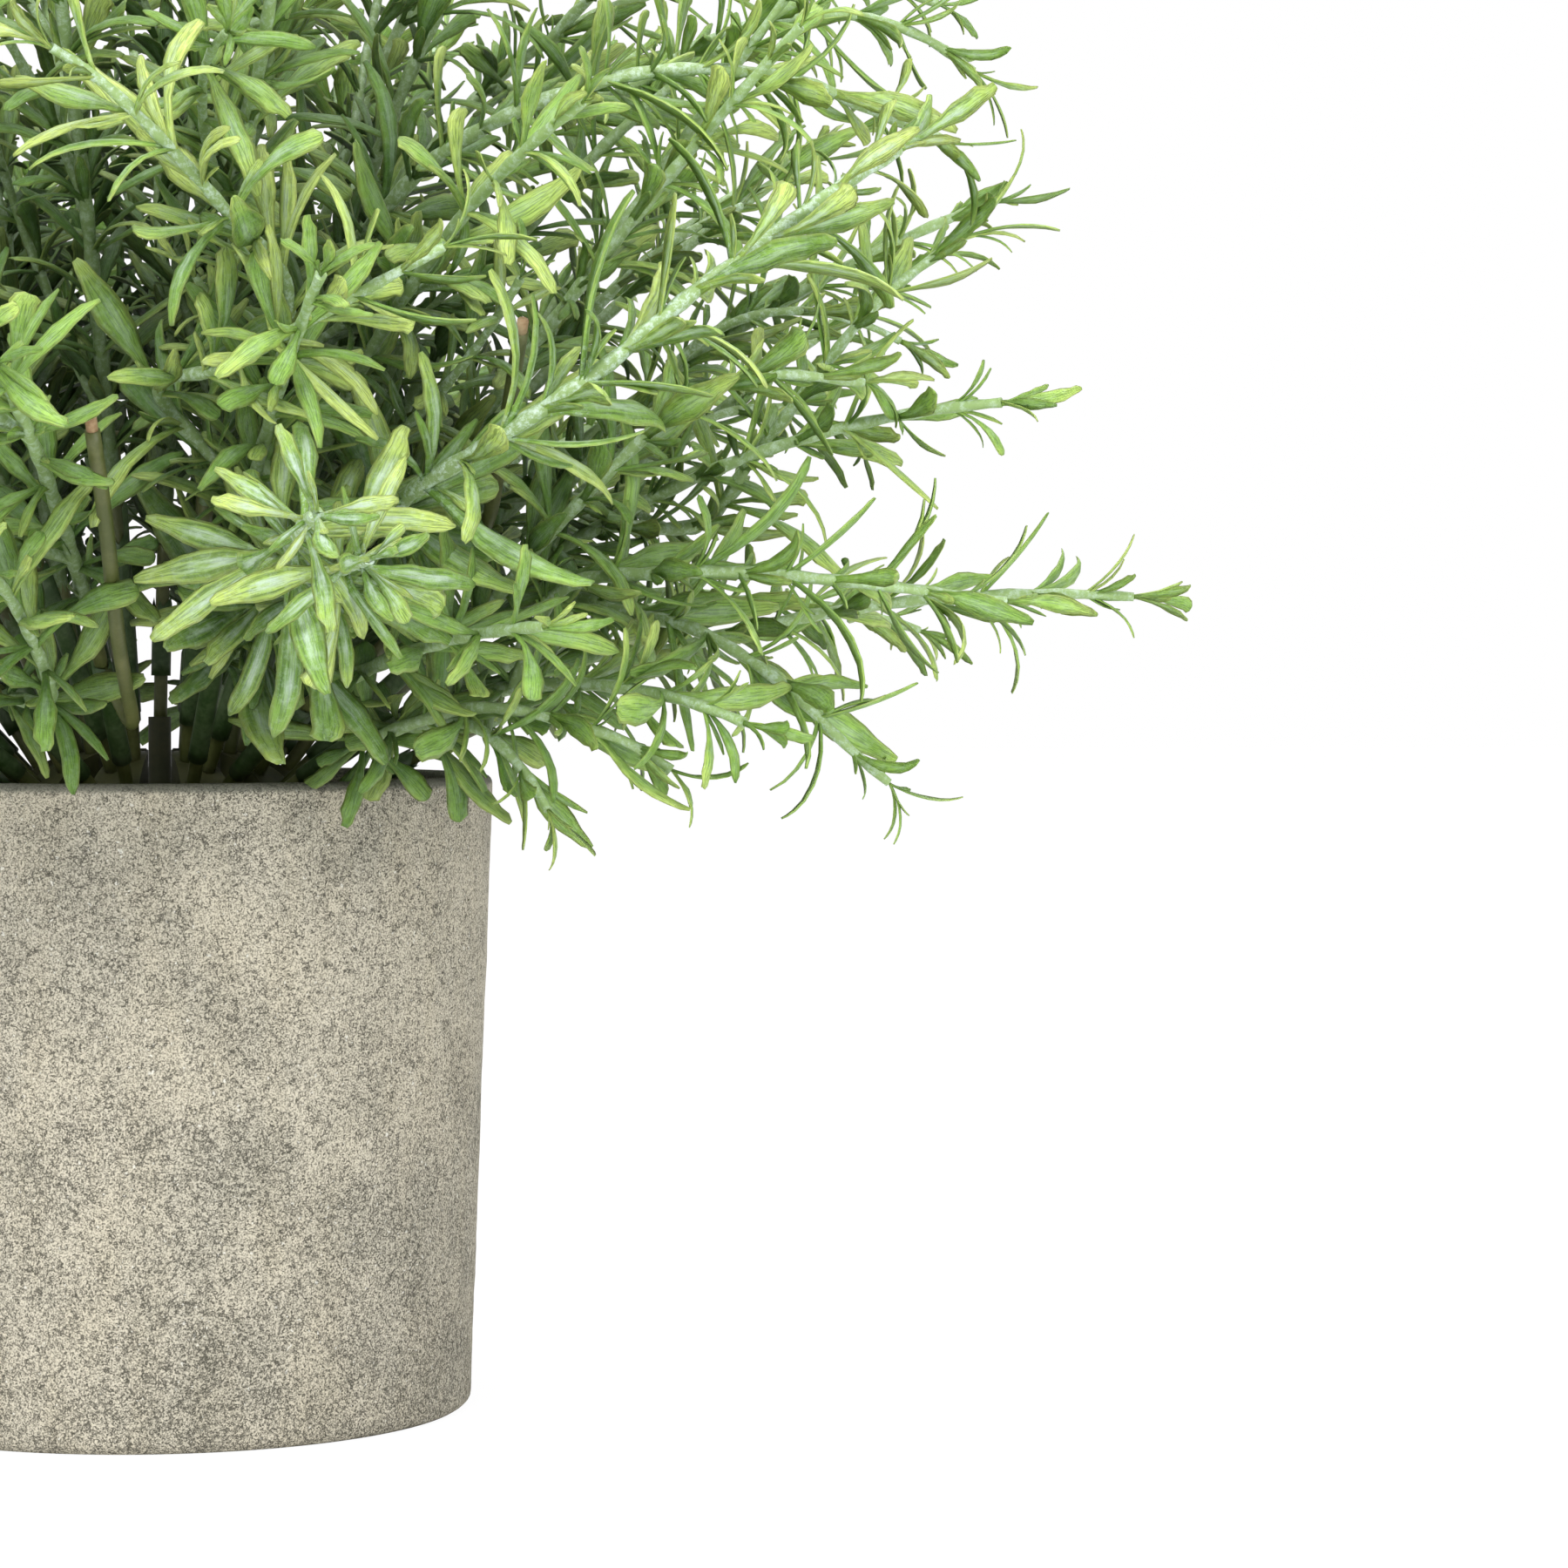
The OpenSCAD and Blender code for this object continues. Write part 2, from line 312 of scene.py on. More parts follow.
@dataclass(frozen=True)
class LeafFinish(Finish):
    """Moulded leaf and sprig stem: green with pale edges, tips and a whitish bloom, with painted
    shade that darkens them towards the bush's middle.
    """

    name: str = "moulded_leaf"
    deep: Colour = paint(92, 138, 46)
    green: Colour = paint(164, 205, 92)
    young: Colour = paint(208, 229, 122)
    stem: Colour = paint(148, 176, 112)
    line: Colour = paint(44, 80, 24)
    # painted shade colour of the inner leaves and stems, where the bush shades itself
    shade: Colour = paint(30, 52, 16)
    bloom: Colour = paint(202, 222, 208)

    def dress(self, graph: Graph, shader: bpy.types.Node) -> None:
        """Wire the leaf's colours and ribs into its shader.

        Args:
            graph: the material's graph.
            shader: its surface shader.
        """
        def reading(name: str) -> Num:
            """Return an attribute of the sprig."""
            node = graph.add("ShaderNodeAttribute", {"attribute_name": name})
            return Num(graph, node.outputs["Fac"])
        where = self.place(graph)
        along, across = reading("along"), reading("across")
        tint, age, is_leaf = reading("tint"), reading("age"), reading("is_leaf")
        powder = reading("bloom")
        fine = self.grain(graph, where, 900, 2)
        broad = self.grain(graph, where, 130, 2)
        lines = graph.add("ShaderNodeCombineXYZ", inputs={
            0: across * 4.2, 1: along * 2.6, 2: tint * 37.0})
        rib = self.grain(graph, lines.outputs[0], 2.4, 3, 0.6)
        streak = graph.add("ShaderNodeCombineXYZ", inputs={
            0: across * 1.3, 1: along * 2.2, 2: (tint * 53.0) + 9.0})
        chalk = self.grain(graph, streak.outputs[0], 1.5, 4, 0.65)
        edge = across.size().power(4.0)
        tip = along.ramp(0.55, 1.0)
        youth = (tip * 0.35) + (edge * 0.4) + (tint * 0.9) + (age * 0.5) + (broad * 0.6) - 1.08
        # painted shade: outside is 0 at the bush's middle and 1 at its outer leaves
        centre = graph.add("ShaderNodeVectorMath", {"operation": "DISTANCE"},
                           {0: where, 1: (0.0, 0.0, 0.185)})
        outside = Num(graph, centre.outputs["Value"]).ramp(0.05, 0.165)
        # tint and broad vary the leaves' own green; the outside term is painted shade, deeper green
        # towards the bush's middle
        body = self.blend(graph, (tint * 0.4) + (broad * 1.1) + (outside * 0.6) - 0.62, self.deep,
                          self.green)
        body = self.blend(graph, youth.ramp(0.0, 1.0), body, self.young)
        dark = rib.ramp(0.46, 0.60) * (1.0 - (edge * 0.9)) * 0.55
        body = self.blend(graph, dark, body, self.line)
        rim = across.size().power(6.0) * along.ramp(0.2, 0.6) * 0.5
        body = self.blend(graph, rim, body, self.young)
        colour = self.blend(graph, is_leaf, self.stem, body)
        # painted shade: leaves and stems darken towards the bush's middle
        colour = self.blend(graph, (1.0 - outside) * 0.62, colour, self.shade)
        length = along.ramp(0.20, 0.42) * (1.0 - along.ramp(0.62, 0.84))
        middle = (1.0 - across.size()).ramp(0.54, 0.80) * length
        lines_beside = (1.0 - (across.size() - 0.58).size().ramp(0.03, 0.15)) * length
        colour = self.blend(graph, lines_beside * is_leaf * powder.ramp(0.3, 1.2) * 0.5, colour,
                            self.line)
        dusty = self.grain(graph, where, 620, 5, 0.78).ramp(0.44, 0.66)
        roots = (1.0 - along.ramp(0.02, 0.38)) * powder.ramp(0.6, 1.0)
        frost = is_leaf * middle * chalk.ramp(0.32, 0.62) * (powder * 0.54)
        frost = frost + ((1.0 - is_leaf) * dusty * (powder * 0.75 + 0.34))
        frost = frost + (dusty * is_leaf * (powder * 0.12 + roots * 0.8 + 0.1))
        # painted shade: less whitish bloom shows towards the bush's middle
        frost = frost * (outside * 0.7 + 0.3)
        colour = self.blend(graph, frost, colour, self.bloom)
        graph.feed(shader.inputs["Base Color"], colour)
        graph.feed(shader.inputs["Roughness"], (fine * 0.22) + 0.36)
        shader.inputs["Specular IOR Level"].default_value = 0.42
        self.relief(graph, shader, (rib * 1.0) + (fine * 0.6), 0.3 * MM, 1.0)


@dataclass(frozen=True)
class CementFinish(Finish):
    """Pale cement with dark pits, hairline cracks and faint grey clouds, and a painted shade band on
    the rim top.
    """

    name: str = "cement_look"
    pale: Colour = paint(204, 197, 179)
    warm: Colour = paint(192, 181, 155)
    cloud: Colour = paint(142, 142, 132)
    pit: Colour = paint(78, 76, 66)
    chip: Colour = paint(226, 224, 214)
    # painted shade colour of the rim top, where the leaves shade it
    lip: Colour = paint(104, 106, 96)
    lip_z: float = 0.1212

    def dress(self, graph: Graph, shader: bpy.types.Node) -> None:
        """Wire the cement's clouds, pits and cracks into its shader.

        Args:
            graph: the material's graph.
            shader: its surface shader.
        """
        where = self.place(graph)
        squeezed = graph.add("ShaderNodeVectorMath", {"operation": "MULTIPLY"},
                             {0: where, 1: (1.0, 1.0, 0.22)})
        wide = self.grain(graph, where, 19, 4, 0.6)
        patch = self.grain(graph, where, 60, 5, 0.66)
        broken = self.grain(graph, where, 420, 3, 0.6)
        streak = self.grain(graph, squeezed.outputs[0], 120, 3, 0.6)
        sand = self.grain(graph, where, 2900, 1, 0.6)
        grit = self.grain(graph, where, 900, 3, 0.6)
        height = graph.add("ShaderNodeSeparateXYZ", inputs={0: where})
        level = Num(graph, height.outputs["Z"])
        # patch and wide spread the dark marks unevenly; the height term thins them towards the top of
        # the wall, painted light that offsets the leaves' shade there
        crowd = ((patch - 0.5) * 0.24) + ((wide - 0.5) * 0.03) - ((level - 0.06) * 0.6)
        specks = (self.grain(graph, where, 2500, 2, 0.55) + (crowd * 0.5)).ramp(0.60, 0.64)
        blots = (self.grain(graph, where, 800, 4, 0.7) + (crowd * 0.5)).ramp(0.65, 0.68)
        cracks = self.cracks(graph, where, 240.0, 0.035) * (broken + crowd).ramp(0.48, 0.53)
        bits = self.grain(graph, where, 980, 2, 0.6)
        fine_cracks = self.cracks(graph, where, 760.0, 0.06) * (bits + crowd).ramp(0.51, 0.55)
        chips = (self.grain(graph, where, 900, 1) + (wide * 0.1)).ramp(0.77, 0.80)
        cloudy = ((wide * 0.8) + (patch * 0.8)).ramp(0.68, 1.05) * 0.34
        colour = self.blend(graph, streak.ramp(0.35, 0.72) * 0.3, self.pale, self.warm)
        colour = self.blend(graph, cloudy, colour, self.cloud)
        colour = self.blend(graph, grit.ramp(0.44, 0.68) * 0.12, colour, self.pit)
        colour = self.blend(graph, sand.ramp(0.44, 0.60) * 0.54, colour, self.pit)
        colour = self.blend(graph, chips * 0.7, colour, self.chip)
        dark = (specks * 0.88).most(blots * 0.78).most(cracks * 0.92).most(fine_cracks * 0.84)
        colour = self.blend(graph, dark, colour, self.pit)
        # painted shade: a dark grey band over the rim top above lip_z
        lip = level + (patch * 0.0008)
        colour = self.blend(graph, lip.ramp(self.lip_z, self.lip_z + 0.0012) * 0.8, colour,
                            self.lip)
        graph.feed(shader.inputs["Base Color"], colour)
        graph.feed(shader.inputs["Roughness"], (patch * 0.15) + 0.80)
        shader.inputs["Specular IOR Level"].default_value = 0.25
        relief = (sand * 0.5) + (grit * 0.3) + (patch * 0.5) - (dark * 0.9)
        self.relief(graph, shader, relief, 0.45 * MM, 0.8)

    def cracks(self, graph: Graph, where: Link, per_metre: float, width: float) -> Num:
        """Return a net of wandering hairlines.

        Args:
            graph: the material's graph.
            where: the coordinates it reads.
            per_metre: how many meshes of the net fit in a metre.
            width: the lines' width as a share of a mesh.

        Returns:
            The net: 1 on a line.
        """
        wobble = graph.add("ShaderNodeTexNoise", inputs={
            "Vector": where, "Scale": per_metre * 2.6, "Detail": 3.0})
        reach = 1.5 / per_metre
        bent = graph.add("ShaderNodeVectorMath", {"operation": "MULTIPLY_ADD"}, {
            0: wobble.outputs["Color"], 1: (reach, reach, reach), 2: where})
        cells = graph.add("ShaderNodeTexVoronoi", {"feature": "DISTANCE_TO_EDGE"},
                          {"Vector": bent.outputs[0], "Scale": per_metre})
        return 1.0 - Num(graph, cells.outputs["Distance"]).ramp(0.0, width)


@dataclass(frozen=True)
class PlasticFinish(Finish):
    """Moulded plastic with a soft mottle and fine scuffs."""

    name: str
    base: Colour
    dust: Colour
    rough: float = 0.5
    dusty: float = 0.3

    def dress(self, graph: Graph, shader: bpy.types.Node) -> None:
        """Wire the mottle into the shader.

        Args:
            graph: the material's graph.
            shader: its surface shader.
        """
        where = self.place(graph)
        broad = self.grain(graph, where, 140, 3)
        fine = self.grain(graph, where, 1100, 3)
        colour = self.blend(graph, (broad + fine * 0.5).ramp(0.55, 1.05) * self.dusty, self.base,
                            self.dust)
        graph.feed(shader.inputs["Base Color"], colour)
        graph.feed(shader.inputs["Roughness"], (fine * 0.2) + (self.rough - 0.1))
        self.relief(graph, shader, (broad * 0.7) + (fine * 0.5), 0.12 * MM, 0.7)


@dataclass(frozen=True)
class SteelFinish(Finish):
    """Drawn steel wire."""

    name: str = "drawn_steel"
    base: Colour = paint(150, 146, 138)
    rust: Colour = paint(122, 84, 52)

    def dress(self, graph: Graph, shader: bpy.types.Node) -> None:
        """Wire the rust spots into the shader.

        Args:
            graph: the material's graph.
            shader: its surface shader.
        """
        where = self.place(graph)
        spots = self.grain(graph, where, 700, 4).ramp(0.52, 0.68)
        graph.feed(shader.inputs["Base Color"], self.blend(graph, spots, self.base, self.rust))
        graph.feed(shader.inputs["Metallic"], 1.0 - spots * 0.8)
        graph.feed(shader.inputs["Roughness"], (spots * 0.4) + 0.35)


@dataclass(frozen=True)
class FibreFinish(Finish):
    """Moss fibres or foam: one hue that wanders between two colours."""

    name: str
    dark: Colour
    light: Colour
    per_metre: float = 500
    depth: float = 0.5 * MM

    def dress(self, graph: Graph, shader: bpy.types.Node) -> None:
        """Wire the wandering hue into the shader.

        Args:
            graph: the material's graph.
            shader: its surface shader.
        """
        where = self.place(graph)
        fine = self.grain(graph, where, self.per_metre, 4, 0.7)
        broad = self.grain(graph, where, self.per_metre / 9, 3)
        colour = self.blend(graph, ((fine * 0.7) + (broad * 0.6)).ramp(0.42, 0.85), self.dark,
                            self.light)
        graph.feed(shader.inputs["Base Color"], colour)
        graph.feed(shader.inputs["Roughness"], (fine * 0.1) + 0.82)
        self.relief(graph, shader, fine, self.depth, 0.8)


# ---------------------------------------------------------------- stems

@dataclass(frozen=True)
class Arm:
    """A stem that bends downwards in an inner and an outer bend, in millimetres."""

    turn: float
    rise: float
    inner: float
    inner_drop: float
    outer: float
    outer_drop: float

    @property
    def reach(self) -> float:
        """Return the stem's whole length."""
        return self.inner + self.outer

    @staticmethod
    def _step(rise: float, turn: float, length: float, s: float) -> Vector:
        """Return the step from the start of a bend to a distance s along it.

        Args:
            rise: the direction at the bend's start, in degrees above the horizon.
            turn: how far the whole bend turns down, in degrees.
            length: the bend's length.
            s: the distance along it.

        Returns:
            The step out and up.
        """
        radius = length / math.radians(turn)
        start, now = math.radians(rise), math.radians(rise - turn * s / length)
        return radius * Vector((math.sin(start) - math.sin(now), math.cos(now) - math.cos(start)))

    def place(self, s: float) -> Vector:
        """Return the point at a distance s, out from the pivot and up.

        Args:
            s: the distance along the stem, in millimetres.

        Returns:
            How far out and how far up the point lies.
        """
        if s <= self.inner or self.outer == 0:
            return self._step(self.rise, self.inner_drop, self.inner, s)
        joint = self._step(self.rise, self.inner_drop, self.inner, self.inner)
        return joint + self._step(self.rise - self.inner_drop, self.outer_drop, self.outer,
                                  s - self.inner)


class SprayKind(Enum):
    """The sprays that the bush is made of."""

    SIDE = (Arm(-9, 31, 72, 8, 116, 27), Arm(9, 44, 72, 2, 116, 8),
            Arm(-9, 57, 84, 12, 116, 24), Arm(9, 67, 84, 16, 112, 20),
            Arm(0, 80, 118, 8, 140, 92))
    BACK = (Arm(-9, 38, 74, 14, 112, 40), Arm(9, 48, 76, 8, 112, 30),
            Arm(-9, 60, 80, 8, 126, 24), Arm(9, 70, 84, 8, 146, 38),
            Arm(0, 80, 110, 4, 146, 40))
    NEAR = (Arm(9, 43, 74, 28, 70, 14), Arm(-9, 46, 74, 6, 104, 20),
            Arm(9, 58, 78, 6, 124, 36), Arm(-9, 69, 86, 10, 140, 24),
            Arm(0, 80, 106, 6, 140, 60))
    FRONT = (Arm(-9, 41, 76, 30, 64, 30), Arm(9, 45, 74, 8, 112, 34),
             Arm(-9, 56, 76, 8, 132, 10), Arm(9, 68, 88, 6, 140, 42),
             Arm(0, 79, 100, 6, 150, 30))
    TALL = (Arm(-9, 42, 74, 24, 84, 26), Arm(9, 47, 76, 14, 112, 20),
            Arm(-9, 59, 80, 10, 126, 40), Arm(9, 70, 84, 6, 150, 22),
            Arm(0, 80, 84, 2, 0, 0))
    LEADER = (Arm(0, 90, 84, 3, 206, 9),)


RING = (SprayKind.SIDE, SprayKind.BACK, SprayKind.NEAR, SprayKind.FRONT, SprayKind.SIDE,
        SprayKind.BACK, SprayKind.NEAR, SprayKind.TALL, SprayKind.NEAR, SprayKind.FRONT)


@dataclass(frozen=True)
class Opening:
    """A round hole through the bush that side shoots keep out of, in millimetres."""

    near: Spot
    far: Spot
    radius: float

    def holds(self, spot: Vector) -> bool:
        """Say whether a point lies in the hole.

        Args:
            spot: the point, in metres.

        Returns:
            True inside the hole.
        """
        start = Vector(self.near) * MM
        way = Vector(self.far) * MM - start
        share = (spot - start).dot(way) / way.length_squared
        return (spot - start - way * share).length < self.radius * MM


OPENINGS = (Opening((59, -150, 242), (83, 150, 280), 18.0),
            Opening((51, -150, 218), (71, 150, 246), 7.0),
            Opening((16, -150, 134), (10, -40, 130), 13.0),
            Opening((122, -120, 142), (155, 100, 141), 14.0),
            Opening((131, -120, 177), (167, 100, 186), 10.0),
            Opening((103, -110, 128), (128, 80, 124), 10.0))


@dataclass(frozen=True)
class LaidSprig:
    """A laid sprig: the points it passes through, in millimetres."""

    through: tuple[tuple[float, float, float], ...]
    age: float = 0.8
    leaf_size: float = 1.0
    spread: float = 1.0
    bloom: float = 0.35
    thick: float = 1.25


LAID = {
    "spray_09": (
        LaidSprig(((16, -62, 149), (20, -104, 160), (23, -142, 167), (25, -164, 169)),
                  1.1, 1.26, 2.6, 1.3, 1.6),
        LaidSprig(((17, -66, 149), (26, -100, 157), (31, -130, 161), (34, -152, 162)),
                  1.0, 1.16, 2.4, 1.3, 1.4),
        LaidSprig(((22, -110, 209), (11, -128, 221), (1, -138, 231), (-9, -143, 240),
                   (-17, -146, 245)), 1.7, 1.15, 1.1, 0.7),
        LaidSprig(((0, -100, 192), (11, -118, 195), (23, -130, 201), (36, -138, 208),
                   (47, -140, 214)), 1.6, 1.1, 1.2, 0.6),
    ),
    "spray_10": (
        LaidSprig(((40, -80, 170), (44, -108, 175), (60, -120, 185), (76, -124, 196),
                   (89, -124, 207), (100, -120, 215), (115, -112, 226), (129, -104, 235)),
                  1.1, 1.25, 1.15, 0.9, 1.6),
        LaidSprig(((72, -70, 158), (89, -84, 161), (103, -90, 161), (126, -92, 159),
                   (142, -90, 157), (151, -88, 156)), 0.5, 1.0, 1.1, 0.3, 1.35),
        LaidSprig(((83, -50, 155), (95, -62, 152), (103, -68, 148), (114, -72, 140),
                   (125, -74, 129), (132, -74, 123)), 0.1, 1.0, 1.25, 0.4, 1.3),
        LaidSprig(((36, -62, 130), (45, -74, 134), (57, -82, 137), (70, -88, 135),
                   (82, -92, 131), (90, -93, 126)), 0.4, 1.0, 1.25, 0.2, 1.3),
        LaidSprig(((44, -62, 133), (55, -80, 134), (63, -89, 127), (68, -93, 119)),
                  0.9, 1.0, 1.1, 0.3, 1.3),
        LaidSprig(((101, -40, 171), (109, -52, 182), (120, -60, 197), (129, -66, 209),
                   (138, -68, 217), (147, -68, 223)), 1.1, 1.1, 1.1, 0.5),
        LaidSprig(((38, -60, 224), (50, -72, 236), (68, -84, 245), (89, -90, 250),
                   (111, -90, 249), (127, -86, 244), (142, -80, 239)), 0.9, 1.0, 1.1, 0.6, 1.4),
        LaidSprig(((60, -60, 155), (77, -80, 176), (92, -90, 190), (107, -92, 196),
                   (125, -90, 195)), 0.7, 1.0, 1.1, 0.4),
    ),
    "spray_01": (
        LaidSprig(((84, -40, 251), (100, -48, 260), (116, -52, 265), (132, -52, 265),
                   (144, -50, 261), (152, -48, 256)), 0.9, 1.0, 1.1, 0.5),
    ),
    "spray_08": (
        LaidSprig(((-19, -80, 139), (-24, -110, 154), (-30, -130, 163)), 0.7, 1.0, 1.2, 0.4),
    ),
}
SPARSE = ("spray_02", "spray_03")
OPEN_FOOT = ("spray_08", "spray_09", "spray_10")
CUT = {
    "spray_08": ((-5, -60, 134), (-7, -90, 148), (-9, -115, 169), (-11, -125, 184)),
    "spray_10": ((58, -56, 168), (61, -78, 184), (63, -98, 203)),
}


def smooth(through: list[Vector], step: float) -> list[Vector]:
    """Lay a smooth curve through points.

    Args:
        through: the points.
        step: the distance between the curve's own points.

    Returns:
        The curve's points.
    """
    ends = [through[0] * 2 - through[1], *through, through[-1] * 2 - through[-2]]
    curve = []
    for a, b, c, d in zip(ends, ends[1:], ends[2:], ends[3:]):
        count = max(1, round((c - b).length / step))
        for k in range(count):
            t = k / count
            curve.append(0.5 * (2 * b + (c - a) * t + (2 * a - 5 * b + 4 * c - d) * t * t
                                + (3 * b - a - 3 * c + d) * t ** 3))
    curve.append(through[-1])
    return curve


@dataclass
class Path:
    """The middle line of a stem or a sprig, in metres."""

    points: list[Vector]
    thick: float
    age: float = 0.5
    leaf_size: float = 1.0
    spread: float = 1.0
    bloom: float = 0.3
    frayed: float = 0.0


class Outline(Enum):
    """Half widths of a leaf, from its stalk to its tip, as (share of length, share of width)."""

    PADDLE = ((0.0, 0.34), (0.12, 0.27), (0.30, 0.36), (0.45, 0.60), (0.60, 0.90), (0.73, 1.0),
              (0.85, 0.88), (0.94, 0.62), (1.0, 0.30))
    SPOON = ((0.0, 0.30), (0.14, 0.24), (0.34, 0.28), (0.50, 0.50), (0.64, 0.80), (0.78, 1.0),
             (0.89, 0.92), (0.96, 0.68), (1.0, 0.38))
    STRAP = ((0.0, 0.46), (0.12, 0.40), (0.30, 0.62), (0.46, 0.88), (0.60, 1.0), (0.75, 0.94),
             (0.87, 0.74), (0.95, 0.52), (1.0, 0.26))
    LANCE = ((0.0, 0.30), (0.13, 0.28), (0.28, 0.50), (0.42, 0.84), (0.56, 1.0), (0.70, 0.88),
             (0.82, 0.70), (0.93, 0.46), (1.0, 0.22))
    NEEDLE = ((0.0, 0.90), (0.2, 0.72), (0.42, 0.80), (0.62, 1.0), (0.82, 0.92), (1.0, 0.34))


@dataclass(frozen=True)
class LeafShape:
    """One moulded leaf, lying along +X with its root at the origin."""

    outline: Outline = Outline.PADDLE
    length: float = 26 * MM
    width: float = 4.6 * MM
    thick: float = 0.6 * MM
    curl: float = 25.0
    sway: float = 6.0
    channel: float = 0.2
    ragged: float = 0.16
    seed: int = 1

    def make(self, name: str) -> bpy.types.Object:
        """Build the leaf's mesh.

        Args:
            name: the new object's name.

        Returns:
            An object that isn't linked to the scene.
        """
        dice = random.Random(self.seed)
        rows, marks = [], []
        at, pitch, yaw, before = Vector((0, 0, 0)), 0.0, 0.0, 0.0
        for u, share in self.outline.value:
            step = u - before
            before = u
            turn = Matrix.Rotation(yaw, 3, "Z") @ Matrix.Rotation(-pitch, 3, "Y")
            at = at + turn @ Vector((step * self.length, 0, 0))
            pitch += math.radians(self.curl) * step * (0.3 + 1.4 * u)
            yaw += math.radians(self.sway) * step
            shake = self.ragged * (1.8 if u > 0.8 else 1.0)
            half = self.width / 2 * share
            left = half * (1 + dice.uniform(-shake, shake))
            right = half * (1 + dice.uniform(-shake, shake))
            rise = self.channel * half
            body = self.thick * (1.1 - 0.55 * u)
            ring = [(-left, rise, -1.0), (0.0, 0.1 * body, 0.0), (right, rise, 1.0),
                    (0.6 * right, 0.4 * rise - 0.7 * body, 0.6), (0.0, -body, 0.0),
                    (-0.6 * left, 0.4 * rise - 0.7 * body, -0.6)]
            rows.append([at + turn @ Vector((0, y, z)) for y, z, _ in ring])
            marks.append([(u, side) for _, _, side in ring])
        count, last = 6, len(rows) - 1
        verts = [v for row in rows for v in row]
        faces = [(k * count + j, k * count + (j + 1) % count, (k + 1) * count + (j + 1) % count,
                  (k + 1) * count + j) for k in range(last) for j in range(count)]
        faces.append(tuple(range(count))[::-1])
        faces.append(tuple(last * count + j for j in range(count)))
        mesh = bpy.data.meshes.new(name)
        mesh.from_pydata(verts, [], faces)
        flat = [mark for row in marks for mark in row]
        for title, values in (("along", [m[0] for m in flat]), ("across", [m[1] for m in flat]),
                              ("is_leaf", [1.0] * len(flat))):
            mesh.attributes.new(title, "FLOAT", "POINT").data.foreach_set("value", values)
        mesh.polygons.foreach_set("use_smooth", [True] * len(mesh.polygons))
        work = bmesh.new()
        work.from_mesh(mesh)
        bmesh.ops.recalc_face_normals(work, faces=work.faces)
        work.to_mesh(mesh)
        work.free()
        return bpy.data.objects.new(name, mesh)


